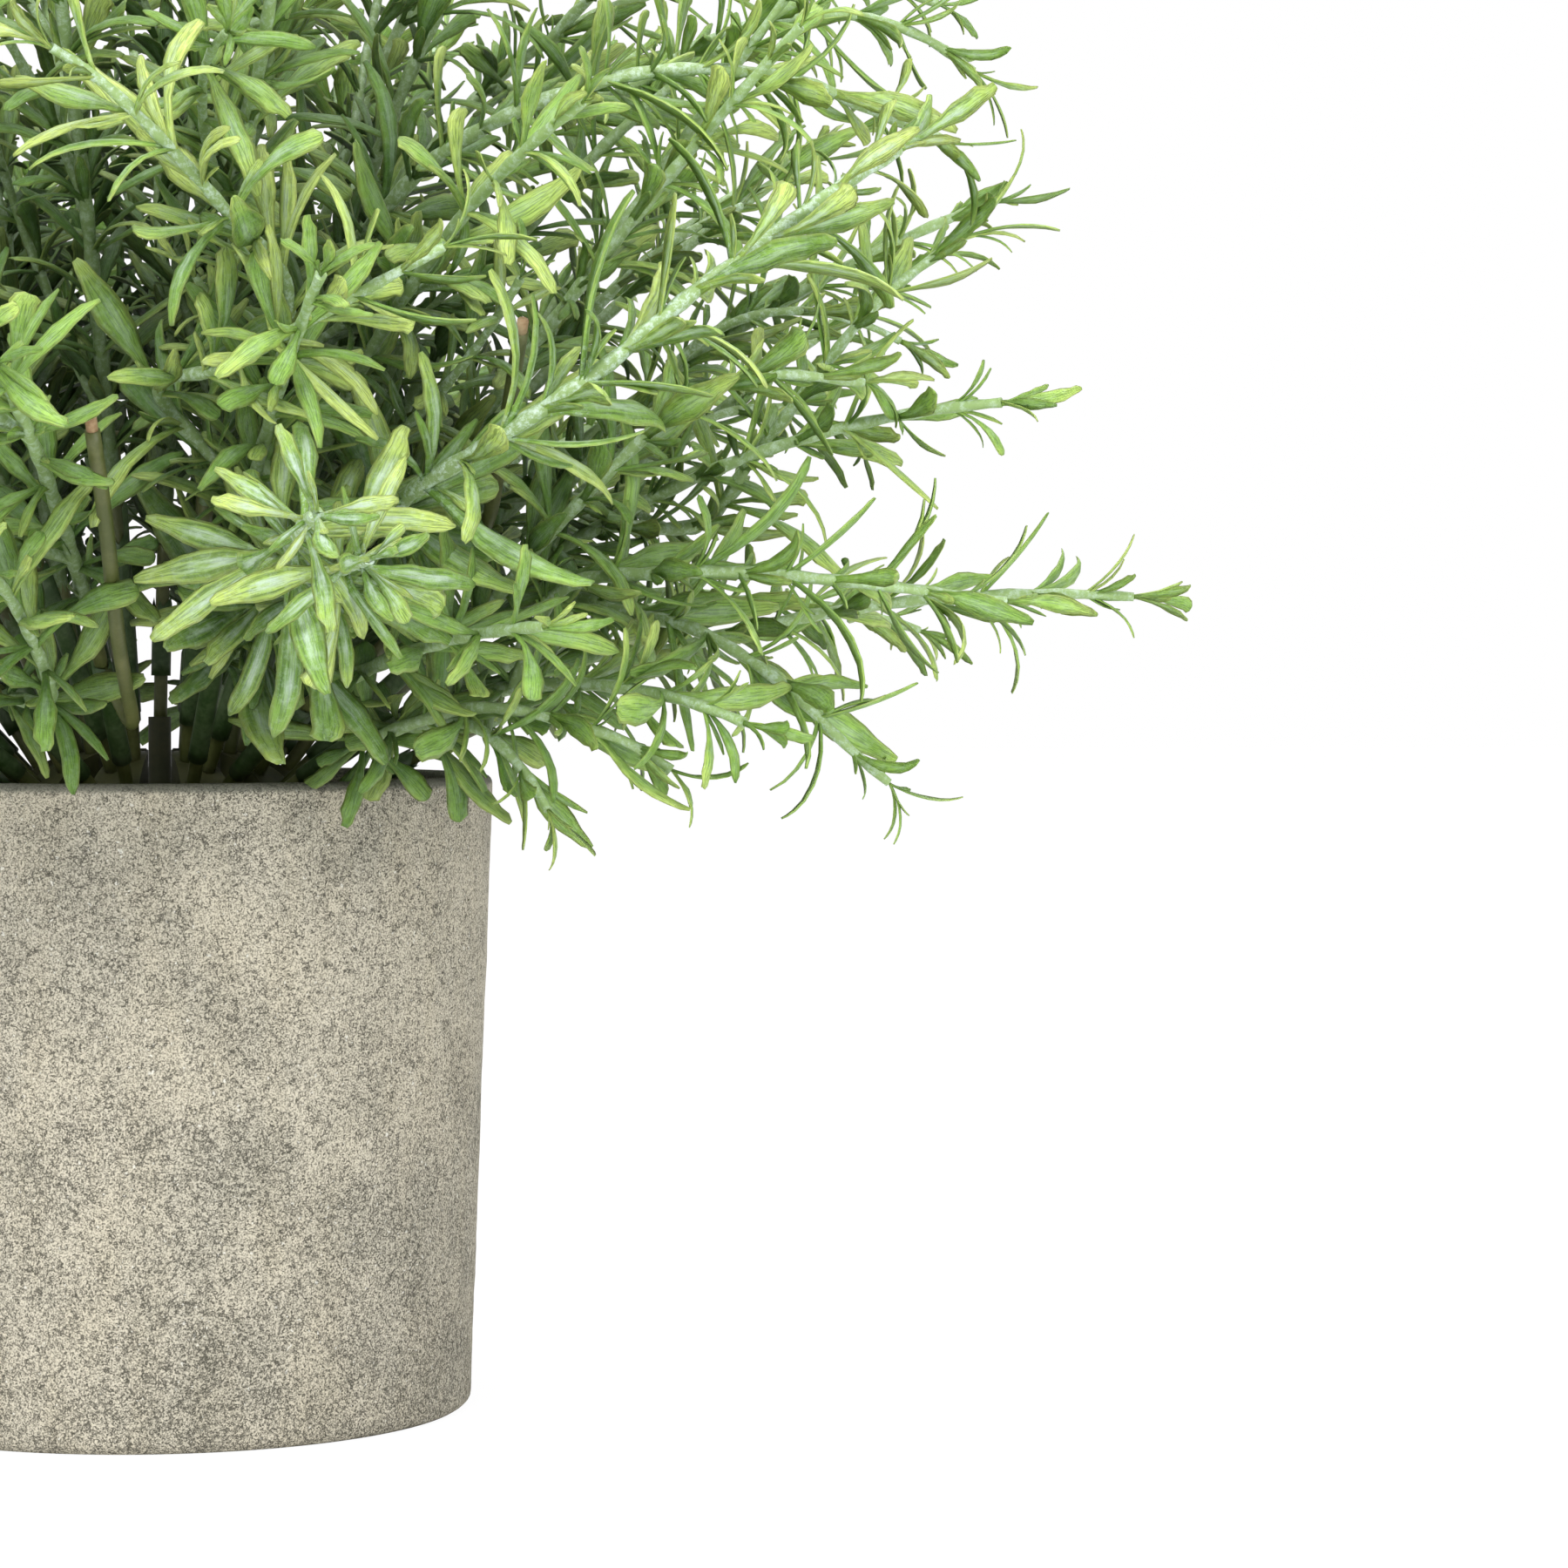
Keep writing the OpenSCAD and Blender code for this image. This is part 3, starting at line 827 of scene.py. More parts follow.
@dataclass
class SprigMaker:
    """A Geometry Nodes tree that turns middle lines into leafy sprigs."""

    leaf_scale: float = 1.0
    leaves: bpy.types.Collection | None = None
    needles: bpy.types.Collection | None = None
    tree: bpy.types.NodeTree | None = None

    def prepare(self) -> None:
        """Build the leaf shapes and the tree."""
        long_leaves = [
            LeafShape(curl=38, sway=10, seed=11, width=5.0 * MM),
            LeafShape(Outline.LANCE, 27 * MM, 5.6 * MM, curl=-26, sway=-14, seed=12),
            LeafShape(Outline.SPOON, 23 * MM, 5.8 * MM, curl=56, sway=12, seed=13),
            LeafShape(Outline.STRAP, 25 * MM, 4.4 * MM, curl=14, sway=-24, seed=14),
            LeafShape(Outline.STRAP, 27 * MM, 3.4 * MM, curl=66, sway=-20, seed=15),
            LeafShape(Outline.SPOON, 20 * MM, 5.2 * MM, curl=-12, sway=26, seed=16, ragged=0.24),
            LeafShape(Outline.LANCE, 28 * MM, 5.0 * MM, curl=50, sway=-10, seed=17, ragged=0.22),
            LeafShape(Outline.LANCE, 24 * MM, 3.8 * MM, curl=60, sway=30, seed=18, ragged=0.22),
        ]
        small_leaves = [
            LeafShape(Outline.NEEDLE, 20 * MM, 2.0 * MM, 0.7 * MM, curl=48, sway=10, seed=21),
            LeafShape(Outline.NEEDLE, 16 * MM, 1.9 * MM, 0.7 * MM, curl=36, sway=-16, seed=22),
            LeafShape(Outline.SPOON, 10 * MM, 3.0 * MM, 0.5 * MM, curl=24, seed=23),
            LeafShape(Outline.STRAP, 12 * MM, 2.4 * MM, 0.5 * MM, curl=-22, seed=24),
            LeafShape(Outline.NEEDLE, 8 * MM, 1.6 * MM, 0.5 * MM, curl=30, seed=25),
        ]
        self.leaves = self._shelf("leaf_shapes", long_leaves)
        self.needles = self._shelf("needle_shapes", small_leaves)
        self.tree = self._plant()

    @staticmethod
    def _shelf(name: str, shapes: Iterable[LeafShape]) -> bpy.types.Collection:
        """Put shapes in a collection that isn't part of the scene.

        Args:
            name: the collection's name, which its pieces' names start with.
            shapes: the leaves to make.

        Returns:
            The collection.
        """
        shelf = bpy.data.collections.new(name)
        for place, shape in enumerate(shapes):
            shelf.objects.link(shape.make(f"{name}_{place}"))
        return shelf

    def _plant(self) -> bpy.types.NodeTree:
        """Build the tree.

        Returns:
            The Geometry Nodes tree that grows a sprig along each line of a mesh.
        """
        tree = bpy.data.node_groups.new("leafy_sprig", "GeometryNodeTree")
        face = tree.interface
        face.new_socket("Geometry", in_out="INPUT", socket_type="NodeSocketGeometry")
        for title, kind in (("Pitch", "NodeSocketFloat"), ("Tilt", "NodeSocketFloat"),
                            ("Leaf Scale", "NodeSocketFloat"), ("Seed", "NodeSocketInt"),
                            ("Material", "NodeSocketMaterial")):
            face.new_socket(title, in_out="INPUT", socket_type=kind)
        face.new_socket("Geometry", in_out="OUTPUT", socket_type="NodeSocketGeometry")
        graph = Graph(tree)
        source = graph.add("NodeGroupInput").outputs
        curve = graph.add("GeometryNodeMeshToCurve", inputs={"Mesh": source["Geometry"]})
        stem = self._stem(graph, source, curve.outputs[0])
        big = self._whorl(graph, source, curve.outputs[0], self.leaves, 2, 0, 1.0)
        more = self._whorl(graph, source, curve.outputs[0], self.leaves, 1, 7, 0.78)
        small = self._whorl(graph, source, curve.outputs[0], self.needles, 2, 13, 1.0)
        joined = graph.add("GeometryNodeJoinGeometry")
        for part in (stem, big, more, small):
            tree.links.new(part, joined.inputs[0])
        real = graph.add("GeometryNodeRealizeInstances", inputs={0: joined.outputs[0]})
        dressed = graph.add("GeometryNodeSetMaterial", inputs={
            "Geometry": real.outputs[0], "Material": source["Material"]})
        graph.add("NodeGroupOutput", inputs={0: dressed.outputs[0]})
        return tree

    @staticmethod
    def _attribute(graph: Graph, name: str) -> Num:
        """Read a named number."""
        node = graph.add("GeometryNodeInputNamedAttribute", {"data_type": "FLOAT"},
                         {"Name": name})
        return Num(graph, node.outputs[0])

    def _stem(self, graph: Graph, source: bpy.types.NodeInputs,
              curve: bpy.types.NodeSocket) -> bpy.types.NodeSocket:
        """Sweep the sprig's stem, which swells where leaves grow.

        Args:
            graph: the tree's graph.
            source: the group's inputs.
            curve: the sprigs' middle lines.

        Returns:
            The stems as a mesh.
        """
        quarter = graph.num(source["Pitch"]) / 4.0
        fine = graph.add("GeometryNodeResampleCurve", {"mode": "LENGTH"},
                         {"Curve": curve, "Length": quarter})
        index = Num(graph, graph.add("GeometryNodeInputIndex").outputs[0])
        swell = 1.0 - ((index % 4.0) - 2.0).size() / 2.0
        radius = self._attribute(graph, "thick") * (1.22 - swell * 0.26)
        sized = graph.add("GeometryNodeSetCurveRadius",
                          inputs={"Curve": fine.outputs[0], "Radius": radius})
        ring = graph.add("GeometryNodeCurvePrimitiveCircle", {"mode": "RADIUS"},
                         {"Resolution": 8, "Radius": 1.0})
        tube = graph.add("GeometryNodeCurveToMesh", inputs={
            "Curve": sized.outputs[0], "Profile Curve": ring.outputs[0], "Fill Caps": True})
        if "Scale" in tube.inputs:
            radius_again = graph.add("GeometryNodeInputRadius")
            graph.feed(tube.inputs["Scale"], radius_again.outputs[0])
        smooth = graph.add("GeometryNodeSetShadeSmooth", inputs={0: tube.outputs[0]})
        return smooth.outputs[0]

    def _whorl(self, graph: Graph, source: bpy.types.NodeInputs, curve: bpy.types.NodeSocket,
               shelf: bpy.types.Collection, count: int, seed: int,
               scale: float) -> bpy.types.NodeSocket:
        """Grow leaves round every node of a sprig.

        Args:
            graph: the tree's graph.
            source: the group's inputs.
            curve: the sprigs' middle lines.
            shelf: the shapes to pick from.
            count: how many grow at each node.
            seed: added to the tree's seed.
            scale: their size.

        Returns:
            The leaves, as instances.
        """
        def dice(low: float, high: float, number: int) -> Num:
            """Return a random number for each leaf.

            Args:
                low: the least that it can be.
                high: the most that it can be.
                number: the draw's own number, which keeps it apart from the others.

            Returns:
                The random number.
            """
            node = graph.add("FunctionNodeRandomValue", {"data_type": "FLOAT"})
            graph.feed(node.inputs[2], low)
            graph.feed(node.inputs[3], high)
            graph.feed(node.inputs["Seed"], graph.num(source["Seed"]) + float(seed * 31 + number))
            return Num(graph, node.outputs[1])

        spaced = graph.add("GeometryNodeResampleCurve", {"mode": "LENGTH"},
                           {"Curve": curve, "Length": source["Pitch"]})
        share = graph.add("GeometryNodeSplineParameter")
        keep = graph.add("GeometryNodeStoreNamedAttribute",
                         {"data_type": "FLOAT", "domain": "POINT"},
                         {"Geometry": spaced.outputs[0], "Name": "share",
                          "Value": share.outputs["Factor"]})
        index = graph.add("GeometryNodeInputIndex")
        number = graph.add("GeometryNodeStoreNamedAttribute",
                           {"data_type": "FLOAT", "domain": "POINT"},
                           {"Geometry": keep.outputs[0], "Name": "node_number",
                            "Value": index.outputs[0]})
        points = graph.add("GeometryNodeCurveToPoints", {"mode": "EVALUATED"},
                           {"Curve": number.outputs[0]})
        way = graph.add("GeometryNodeStoreNamedAttribute",
                        {"data_type": "FLOAT_VECTOR", "domain": "POINT"},
                        {"Geometry": points.outputs[0], "Name": "way",
                         "Value": points.outputs["Tangent"]})
        many = graph.add("GeometryNodeDuplicateElements", {"domain": "POINT"},
                         {"Geometry": way.outputs[0], "Amount": count})
        turn_on = Num(graph, many.outputs["Duplicate Index"]) * (2 * math.pi / count)
        steps = self._attribute(graph, "node_number") * (math.pi / 2)
        roll = turn_on + steps + float(seed) + dice(-0.45, 0.45, 1)
        where = self._attribute(graph, "share")
        closing = 1.0 - where.ramp(0.80, 1.0) * 0.6
        tilt = (graph.num(source["Tilt"]) + dice(-0.30, 0.36, 2)) * closing
        tilt = tilt * self._attribute(graph, "spread")
        way_in = graph.add("GeometryNodeInputNamedAttribute", {"data_type": "FLOAT_VECTOR"},
                           {"Name": "way"})
        aim = graph.add("FunctionNodeAlignRotationToVector", {"axis": "X"},
                        {"Vector": way_in.outputs[0]})
        rolled = graph.add("FunctionNodeAxisAngleToRotation", inputs={
            "Axis": (1.0, 0.0, 0.0), "Angle": roll})
        tilted = graph.add("FunctionNodeAxisAngleToRotation", inputs={
            "Axis": (0.0, 1.0, 0.0), "Angle": tilt * -1.0})
        first = graph.add("FunctionNodeRotateRotation", {"rotation_space": "LOCAL"},
                          {"Rotation": aim.outputs[0], "Rotate By": rolled.outputs[0]})
        second = graph.add("FunctionNodeRotateRotation", {"rotation_space": "LOCAL"},
                           {"Rotation": first.outputs[0], "Rotate By": tilted.outputs[0]})
        ends = where.ramp(0.0, 0.10) * 0.25 + 0.75
        ends = ends * (1.0 - where.ramp(0.72, 1.0) * 0.42)
        size = dice(0.70, 1.10, 3) * self._attribute(graph, "leaf_size") * ends * scale
        size = size * graph.num(source["Leaf Scale"])
        shapes = graph.add("GeometryNodeCollectionInfo", inputs={
            "Collection": shelf, "Separate Children": True, "Reset Children": True})
        pick = dice(0.0, len(shelf.objects) - 0.01, 4)
        grown = graph.add("GeometryNodeInstanceOnPoints", inputs={
            "Points": many.outputs[0], "Instance": shapes.outputs[0], "Pick Instance": True,
            "Instance Index": pick.floor(), "Rotation": second.outputs[0], "Scale": size})
        tinted = graph.add("GeometryNodeStoreNamedAttribute",
                           {"data_type": "FLOAT", "domain": "INSTANCE"},
                           {"Geometry": grown.outputs[0], "Name": "tint",
                            "Value": dice(0.0, 1.0, 5)})
        return tinted.outputs[0]

    def grow(self, name: str, paths: list[Path], material: bpy.types.Material, seed: int,
             tilt: float = 42.0, pitch: float = 9.6 * MM) -> bpy.types.Object:
        """Grow sprigs along middle lines.

        Args:
            name: the new piece's name.
            paths: the sprigs' middle lines.
            material: the sprigs' material.
            seed: seed of everything random in them.
            tilt: angle between a leaf and its stem, in degrees.
            pitch: distance between the nodes that leaves grow from.

        Returns:
            The finished piece, as a plain mesh.
        """
        mesh = bpy.data.meshes.new(name + "_lines")
        verts, edges = [], []
        marks: dict[str, list[float]] = {
            "thick": [], "age": [], "leaf_size": [], "spread": [], "bloom": []}
        for path in paths:
            start, last = len(verts), len(path.points) - 1
            for k, point in enumerate(path.points):
                verts.append(point)
                marks["thick"].append(path.thick * (1 - 0.35 * k / last))
                marks["age"].append(path.age * (0.4 + 0.6 * k / last))
                marks["leaf_size"].append(path.leaf_size)
                marks["spread"].append(1 + (path.spread - 1) * k / last)
                marks["bloom"].append(path.bloom)
                if k:
                    edges.append((start + k - 1, start + k))
        mesh.from_pydata(verts, edges, [])
        for title, values in marks.items():
            mesh.attributes.new(title, "FLOAT", "POINT").data.foreach_set("value", values)
        lines = bpy.data.objects.new(name + "_lines", mesh)
        bpy.context.scene.collection.objects.link(lines)
        modifier = lines.modifiers.new("sprigs", "NODES")
        modifier.node_group = self.tree
        named = {item.name: item.identifier for item in self.tree.interface.items_tree
                 if item.in_out == "INPUT"}
        modifier[named["Pitch"]] = pitch
        modifier[named["Tilt"]] = math.radians(tilt)
        modifier[named["Leaf Scale"]] = self.leaf_scale
        modifier[named["Seed"]] = seed
        modifier[named["Material"]] = material
        return settle(lines, name)


def settle(source: bpy.types.Object, name: str) -> bpy.types.Object:
    """Turn an object with modifiers into a plain mesh object.

    Args:
        source: the object, which is removed.
        name: the new object's name.

    Returns:
        The new object, linked to the scene.
    """
    seen = source.evaluated_get(bpy.context.evaluated_depsgraph_get())
    mesh = bpy.data.meshes.new_from_object(seen)
    mesh.name = name
    bpy.data.objects.remove(source)
    piece = bpy.data.objects.new(name, mesh)
    bpy.context.scene.collection.objects.link(piece)
    return piece


# ---------------------------------------------------------------- the bush

@dataclass
class Spray:
    """One spray of the bush: its stems and sprigs, on the body of the same name.

    Distances along an arm, thicknesses and the cut stem's sizes are in millimetres. The values
    from heart_z to hanging_z are in metres, and hold side shoots inside the bush's outline.
    """

    name: str
    kind: SprayKind
    azimuth: float
    pivot: Vector
    number: int
    bare: float = 44.0
    sleeve: float = 1.9
    palm: float = 21.0
    coat: float = 1.35
    sector: float = 18.0
    bark: bpy.types.Material | None = None
    cover: bpy.types.Material | None = None
    shoot_step: float = 4.0
    heart_z: float = 0.190
    heart_reach: float = 0.168
    high_z: float = 0.165
    high_reach: float = 0.150
    low_reach: float = 0.118
    hanging_z: float = 0.140
    cut_radius: float = 1.05
    cut_length: float = 2.6

    def point(self, arm: Arm, s: float) -> Vector:
        """Return a point on an arm.

        Args:
            arm: the arm.
            s: the distance from the pivot along it, in millimetres.

        Returns:
            The point, in metres.
        """
        flat = arm.place(s)
        turn = math.radians(self.azimuth + arm.turn)
        away = Vector((math.cos(turn), math.sin(turn), 0)) * flat[0]
        return self.pivot + (away + Vector((0, 0, flat[1]))) * MM

    def line(self, arm: Arm, start: float, end: float, step: float = 4.0) -> list[Vector]:
        """Return points along an arm.

        Args:
            arm: the arm.
            start: the first point's distance from the pivot, in millimetres.
            end: the last point's distance.
            step: about how far apart they lie.

        Returns:
            The points, in metres.
        """
        count = max(2, round((end - start) / step))
        return [self.point(arm, start + (end - start) * k / count) for k in range(count + 1)]

    def side_shoot(self, arm: Arm, s: float, dice: random.Random) -> Path:
        """Grow a side shoot from an arm.

        Args:
            arm: the arm it grows from.
            s: the distance along the arm.
            dice: the spray's random numbers.

        Returns:
            The shoot's middle line.
        """
        at = self.point(arm, s)
        way = (self.point(arm, s + 2) - self.point(arm, s - 2)).normalized()
        across = Vector((-math.sin(math.radians(self.azimuth)),
                         math.cos(math.radians(self.azimuth)), 0))
        up = way.cross(across).normalized()
        if up.z < 0:
            up = -up
        side = -math.copysign(1, arm.turn) if arm.turn else dice.choice((-1, 1))
        if dice.random() < 0.3:
            side = -side * 0.5
        lean = dice.uniform(-0.55, 0.75)
        aside = (across * side * 0.8 + up * lean).normalized()
        way = (way + aside * dice.uniform(0.45, 0.75)).normalized()
        length = dice.uniform(46, 82) * min(1.0, 0.55 + s / 220)
        sag = dice.uniform(-0.05, 0.09)
        drift = Vector([dice.uniform(-1, 1) for _ in range(3)])
        points = [at.copy()]
        for _ in range(round(length / self.shoot_step)):
            way = (way + Vector((0, 0, -sag)) - aside * 0.035 + drift * 0.05).normalized()
            way = self.kept_inside(points[-1], way, across)
            points.append(points[-1] + way * self.shoot_step * MM)
        return Path(points, 1.05 * MM, dice.uniform(0.2, 1.2), dice.uniform(0.8, 1.05),
                    dice.uniform(0.9, 1.25), dice.choice((0.15, 0.25, 0.5, 0.8)))

    def kept_inside(self, at: Vector, way: Vector, across: Vector) -> Vector:
        """Turn a growing shoot away from the next spray and the outside of the bush.

        Args:
            at: the shoot's end so far.
            way: the direction it grows in.
            across: the horizontal direction across the spray.

        Returns:
            The direction it goes on in.
        """
        out = Vector((math.cos(math.radians(self.azimuth)), math.sin(math.radians(self.azimuth)),
                      0))
        aside = at.dot(across)
        room = math.tan(math.radians(self.sector)) * max(at.dot(out), 0.02) - 4 * MM
        if abs(aside) > room and way.dot(across) * aside > 0:
            way = (way - across * way.dot(across) * 0.8).normalized()
        level = Vector((at.x, at.y, 0))
        limit = self.high_reach if at.z > self.high_z else self.low_reach
        from_middle = at - Vector((0, 0, self.heart_z))
        if level.length > limit and way.dot(level) > 0:
            way = (way - level.normalized() * 0.55).normalized()
        if from_middle.length > self.heart_reach and way.dot(from_middle) > 0:
            way = (way - from_middle.normalized() * 0.4).normalized()
        if at.z < self.hanging_z and way.z < 0:
            way = Vector((way.x, way.y, abs(way.z) * 0.4 + 0.05)).normalized()
        return way

    def sprig_paths(self) -> list[Path]:
        """Return the middle lines of all the spray's sprigs.

        Returns:
            A line for each arm's own sprig and for each side shoot.
        """
        dice = random.Random(4100 + self.number)
        gap = (42, 66) if self.name in LAID or self.name in SPARSE else (26, 38)
        paths = []
        for place, arm in enumerate(self.kind.value):
            if arm.outer == 0:
                continue
            start = self.bare + dice.uniform(2, 16)
            paths.append(Path(self.line(arm, start, arm.reach), 1.35 * MM,
                              dice.uniform(0.3, 1.0)))
            s = start + dice.uniform(8, 18)
            if place == 0 and self.name in LAID:
                continue
            while s < arm.reach - 45:
                shoot = self.side_shoot(arm, s, dice)
                if not any(hole.holds(spot) for hole in OPENINGS for spot in shoot.points[4:]):
                    paths.append(shoot)
                s += dice.uniform(*gap)
        return paths

    def nearest(self, spot: Vector, back: float) -> Vector:
        """Return the point of an arm that a sprig to a spot would best grow from.

        Args:
            spot: the first point of the sprig.
            back: how far the sprig's root lies down the arm from there.

        Returns:
            The sprig's root.
        """
        options = [((self.point(arm, s) - spot).length, arm, s) for arm in self.kind.value
                   for s in range(int(self.bare), int(arm.reach), 6)]
        _, arm, s = min(options, key=lambda option: option[0])
        return self.point(arm, max(self.bare - 6, s - back))

    def laid_paths(self) -> list[Path]:
        """Return the middle lines of the laid sprigs.

        Returns:
            A line for each, or an empty list.
        """
        paths = []
        for laid in LAID.get(self.name, ()):
            through = [Vector(spot) * MM for spot in laid.through]
            through.insert(0, self.nearest(through[0], 14))
            paths.append(Path(smooth(through, 4 * MM), laid.thick * MM, laid.age,
                              laid.leaf_size, laid.spread, laid.bloom))
        return paths

    def cut_stem(self) -> list[Vector]:
        """Return the middle line of the spray's bare cut stem.

        Returns:
            Its points, or an empty list where no stem is cut.
        """
        if self.name not in CUT:
            return []
        through = [Vector(spot) * MM for spot in CUT[self.name]]
        return smooth([self.nearest(through[0], 20), *through], 3 * MM)

    def stem_mesh(self, material: bpy.types.Material) -> bpy.types.Object:
        """Sweep the plastic-coated stems between the palm and the leaves.

        Args:
            material: the stems' plastic.

        Returns:
            The stems as one piece.
        """
        paths = [Path(self.line(arm, self.palm, arm.inner if arm.outer == 0 else self.bare + 12,
                                3.0), self.coat * MM)
                 for arm in self.kind.value]
        cut = self.cut_stem()
        if cut:
            paths.append(Path(cut, self.coat * MM))
            way = (cut[-1] - cut[-2]).normalized()
            bark = tubes(self.name + "_cut_end", [Path(
                [cut[-1] - way * MM, cut[-1] + way * 1.2 * MM,
                 cut[-1] + way * self.cut_length * MM], self.cut_radius * MM)], 9)
            bark.data.materials.append(self.bark)
            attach(bark, self.name)
        piece = tubes(self.name + "_coated_stems", paths, 12)
        piece.data.materials.append(material)
        return piece

    def sleeves(self) -> None:
        """Slip a dark moulded sleeve with a frayed end over the root of each stem."""
        dice = random.Random(900 + self.number)
        paths = []
        for arm in self.kind.value:
            end = min(arm.inner, self.bare) + dice.uniform(-8, 4)
            paths.append(Path(self.line(arm, 30, end, 3.0), self.sleeve * MM,
                              frayed=dice.uniform(1.5, 4.0) * MM))
        piece = tubes(self.name + "_sleeves", paths, 14)
        piece.data.materials.append(self.cover)
        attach(piece, self.name)

    def build(self, maker: SprigMaker, leaf: bpy.types.Material,
              coat: bpy.types.Material) -> None:
        """Build the spray's pieces and put them on its body.

        Args:
            maker: grows the sprigs.
            leaf: the sprigs' material.
            coat: the stems' material.
        """
        sprigs = maker.grow(self.name + "_sprigs", self.sprig_paths(), leaf, self.number)
        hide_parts(self.name + "_leaves")
        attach(sprigs, self.name)
        laid = self.laid_paths()
        if laid:
            front = maker.grow(self.name + "_laid_sprigs", laid, leaf, self.number + 50,
                               pitch=8.2 * MM)
            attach(front, self.name)
        stems = self.stem_mesh(coat)
        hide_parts(self.name + "_stems")
        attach(stems, self.name)
        self.sleeves()
        sprigs.data.calc_loop_triangles()
        LOG.info("%s: %d triangles", self.name, len(sprigs.data.loop_triangles))


def tubes(name: str, paths: list[Path], sides: int) -> bpy.types.Object:
    """Sweep closed round tubes along middle lines.

    Args:
        name: the new object's name.
        paths: the middle lines.
        sides: corners of a tube's section.

    Returns:
        The new object.
    """
    verts, faces = [], []
    for path in paths:
        base, normal = len(verts), None
        for k, point in enumerate(path.points):
            before = path.points[max(0, k - 1)]
            after = path.points[min(len(path.points) - 1, k + 1)]
            way = (after - before).normalized()
            if normal is None:
                normal = way.orthogonal().normalized()
            normal = (normal - way * normal.dot(way)).normalized()
            other = way.cross(normal)
            for j in range(sides):
                angle = 2 * math.pi * j / sides
                fray = path.frayed * ((j * 5) % 7) / 6 if k == len(path.points) - 1 else 0.0
                verts.append(point + way * fray
                             + (normal * math.cos(angle) + other * math.sin(angle)) * path.thick)
        rows = len(path.points)
        faces += [(base + k * sides + j, base + k * sides + (j + 1) % sides,
                   base + (k + 1) * sides + (j + 1) % sides, base + (k + 1) * sides + j)
                  for k in range(rows - 1) for j in range(sides)]
        faces.append(tuple(base + j for j in reversed(range(sides))))
        faces.append(tuple(base + (rows - 1) * sides + j for j in range(sides)))
    mesh = bpy.data.meshes.new(name)
    mesh.from_pydata(verts, [], faces)
    mesh.polygons.foreach_set("use_smooth", [True] * len(mesh.polygons))
    piece = bpy.data.objects.new(name, mesh)
    bpy.context.scene.collection.objects.link(piece)
    return piece


@dataclass
class Bush:
    """All the sprays."""

    leaf: LeafFinish = field(default_factory=LeafFinish)

    def build(self) -> None:
        """Build the sprays and dress their CAD pieces."""
        maker = SprigMaker()
        maker.prepare()
        leaf = self.leaf.make()
        coat = PlasticFinish("coated_stem", paint(76, 84, 40), paint(126, 124, 82), 0.42,
                             0.4).make()
        palm = PlasticFinish("moulded_palm", paint(52, 56, 28), paint(100, 98, 60), 0.5).make()
        steel = SteelFinish().make()
        cover = PlasticFinish("stem_sleeve", paint(44, 70, 28), paint(132, 150, 110), 0.45,
                              0.35).make()
        bark = PlasticFinish("cut_end", paint(138, 104, 70), paint(186, 164, 130), 0.8, 0.9).make()
        for joint in frame["joints"]:
            name = joint["child"]
            leader = name == "leader"
            number = 11 if leader else int(name.split("_")[1])
            kind = SprayKind.LEADER if leader else RING[number - 1]
            azimuth = 0.0 if leader else 36.0 * (number - 1)
            bare = 64.0 if name in OPEN_FOOT else 44.0
            spray = Spray(name, kind, azimuth, Vector(joint["pos_m"]), number, bare, bark=bark,
                          cover=cover)
            spray.build(maker, leaf, coat)
            dress(name + "_base", palm)
            dress(name + "_wires", steel)
        dress("trunk_wires", steel)


def dress(node: str, material: bpy.types.Material) -> None:
    """Give a CAD node a material.

    Args:
        node: the node's name.
        material: the material for all its slots.
    """
    piece = bpy.data.objects[node]
    if not piece.material_slots:
        piece.data.materials.append(material)
    for slot in piece.material_slots:
        slot.material = material


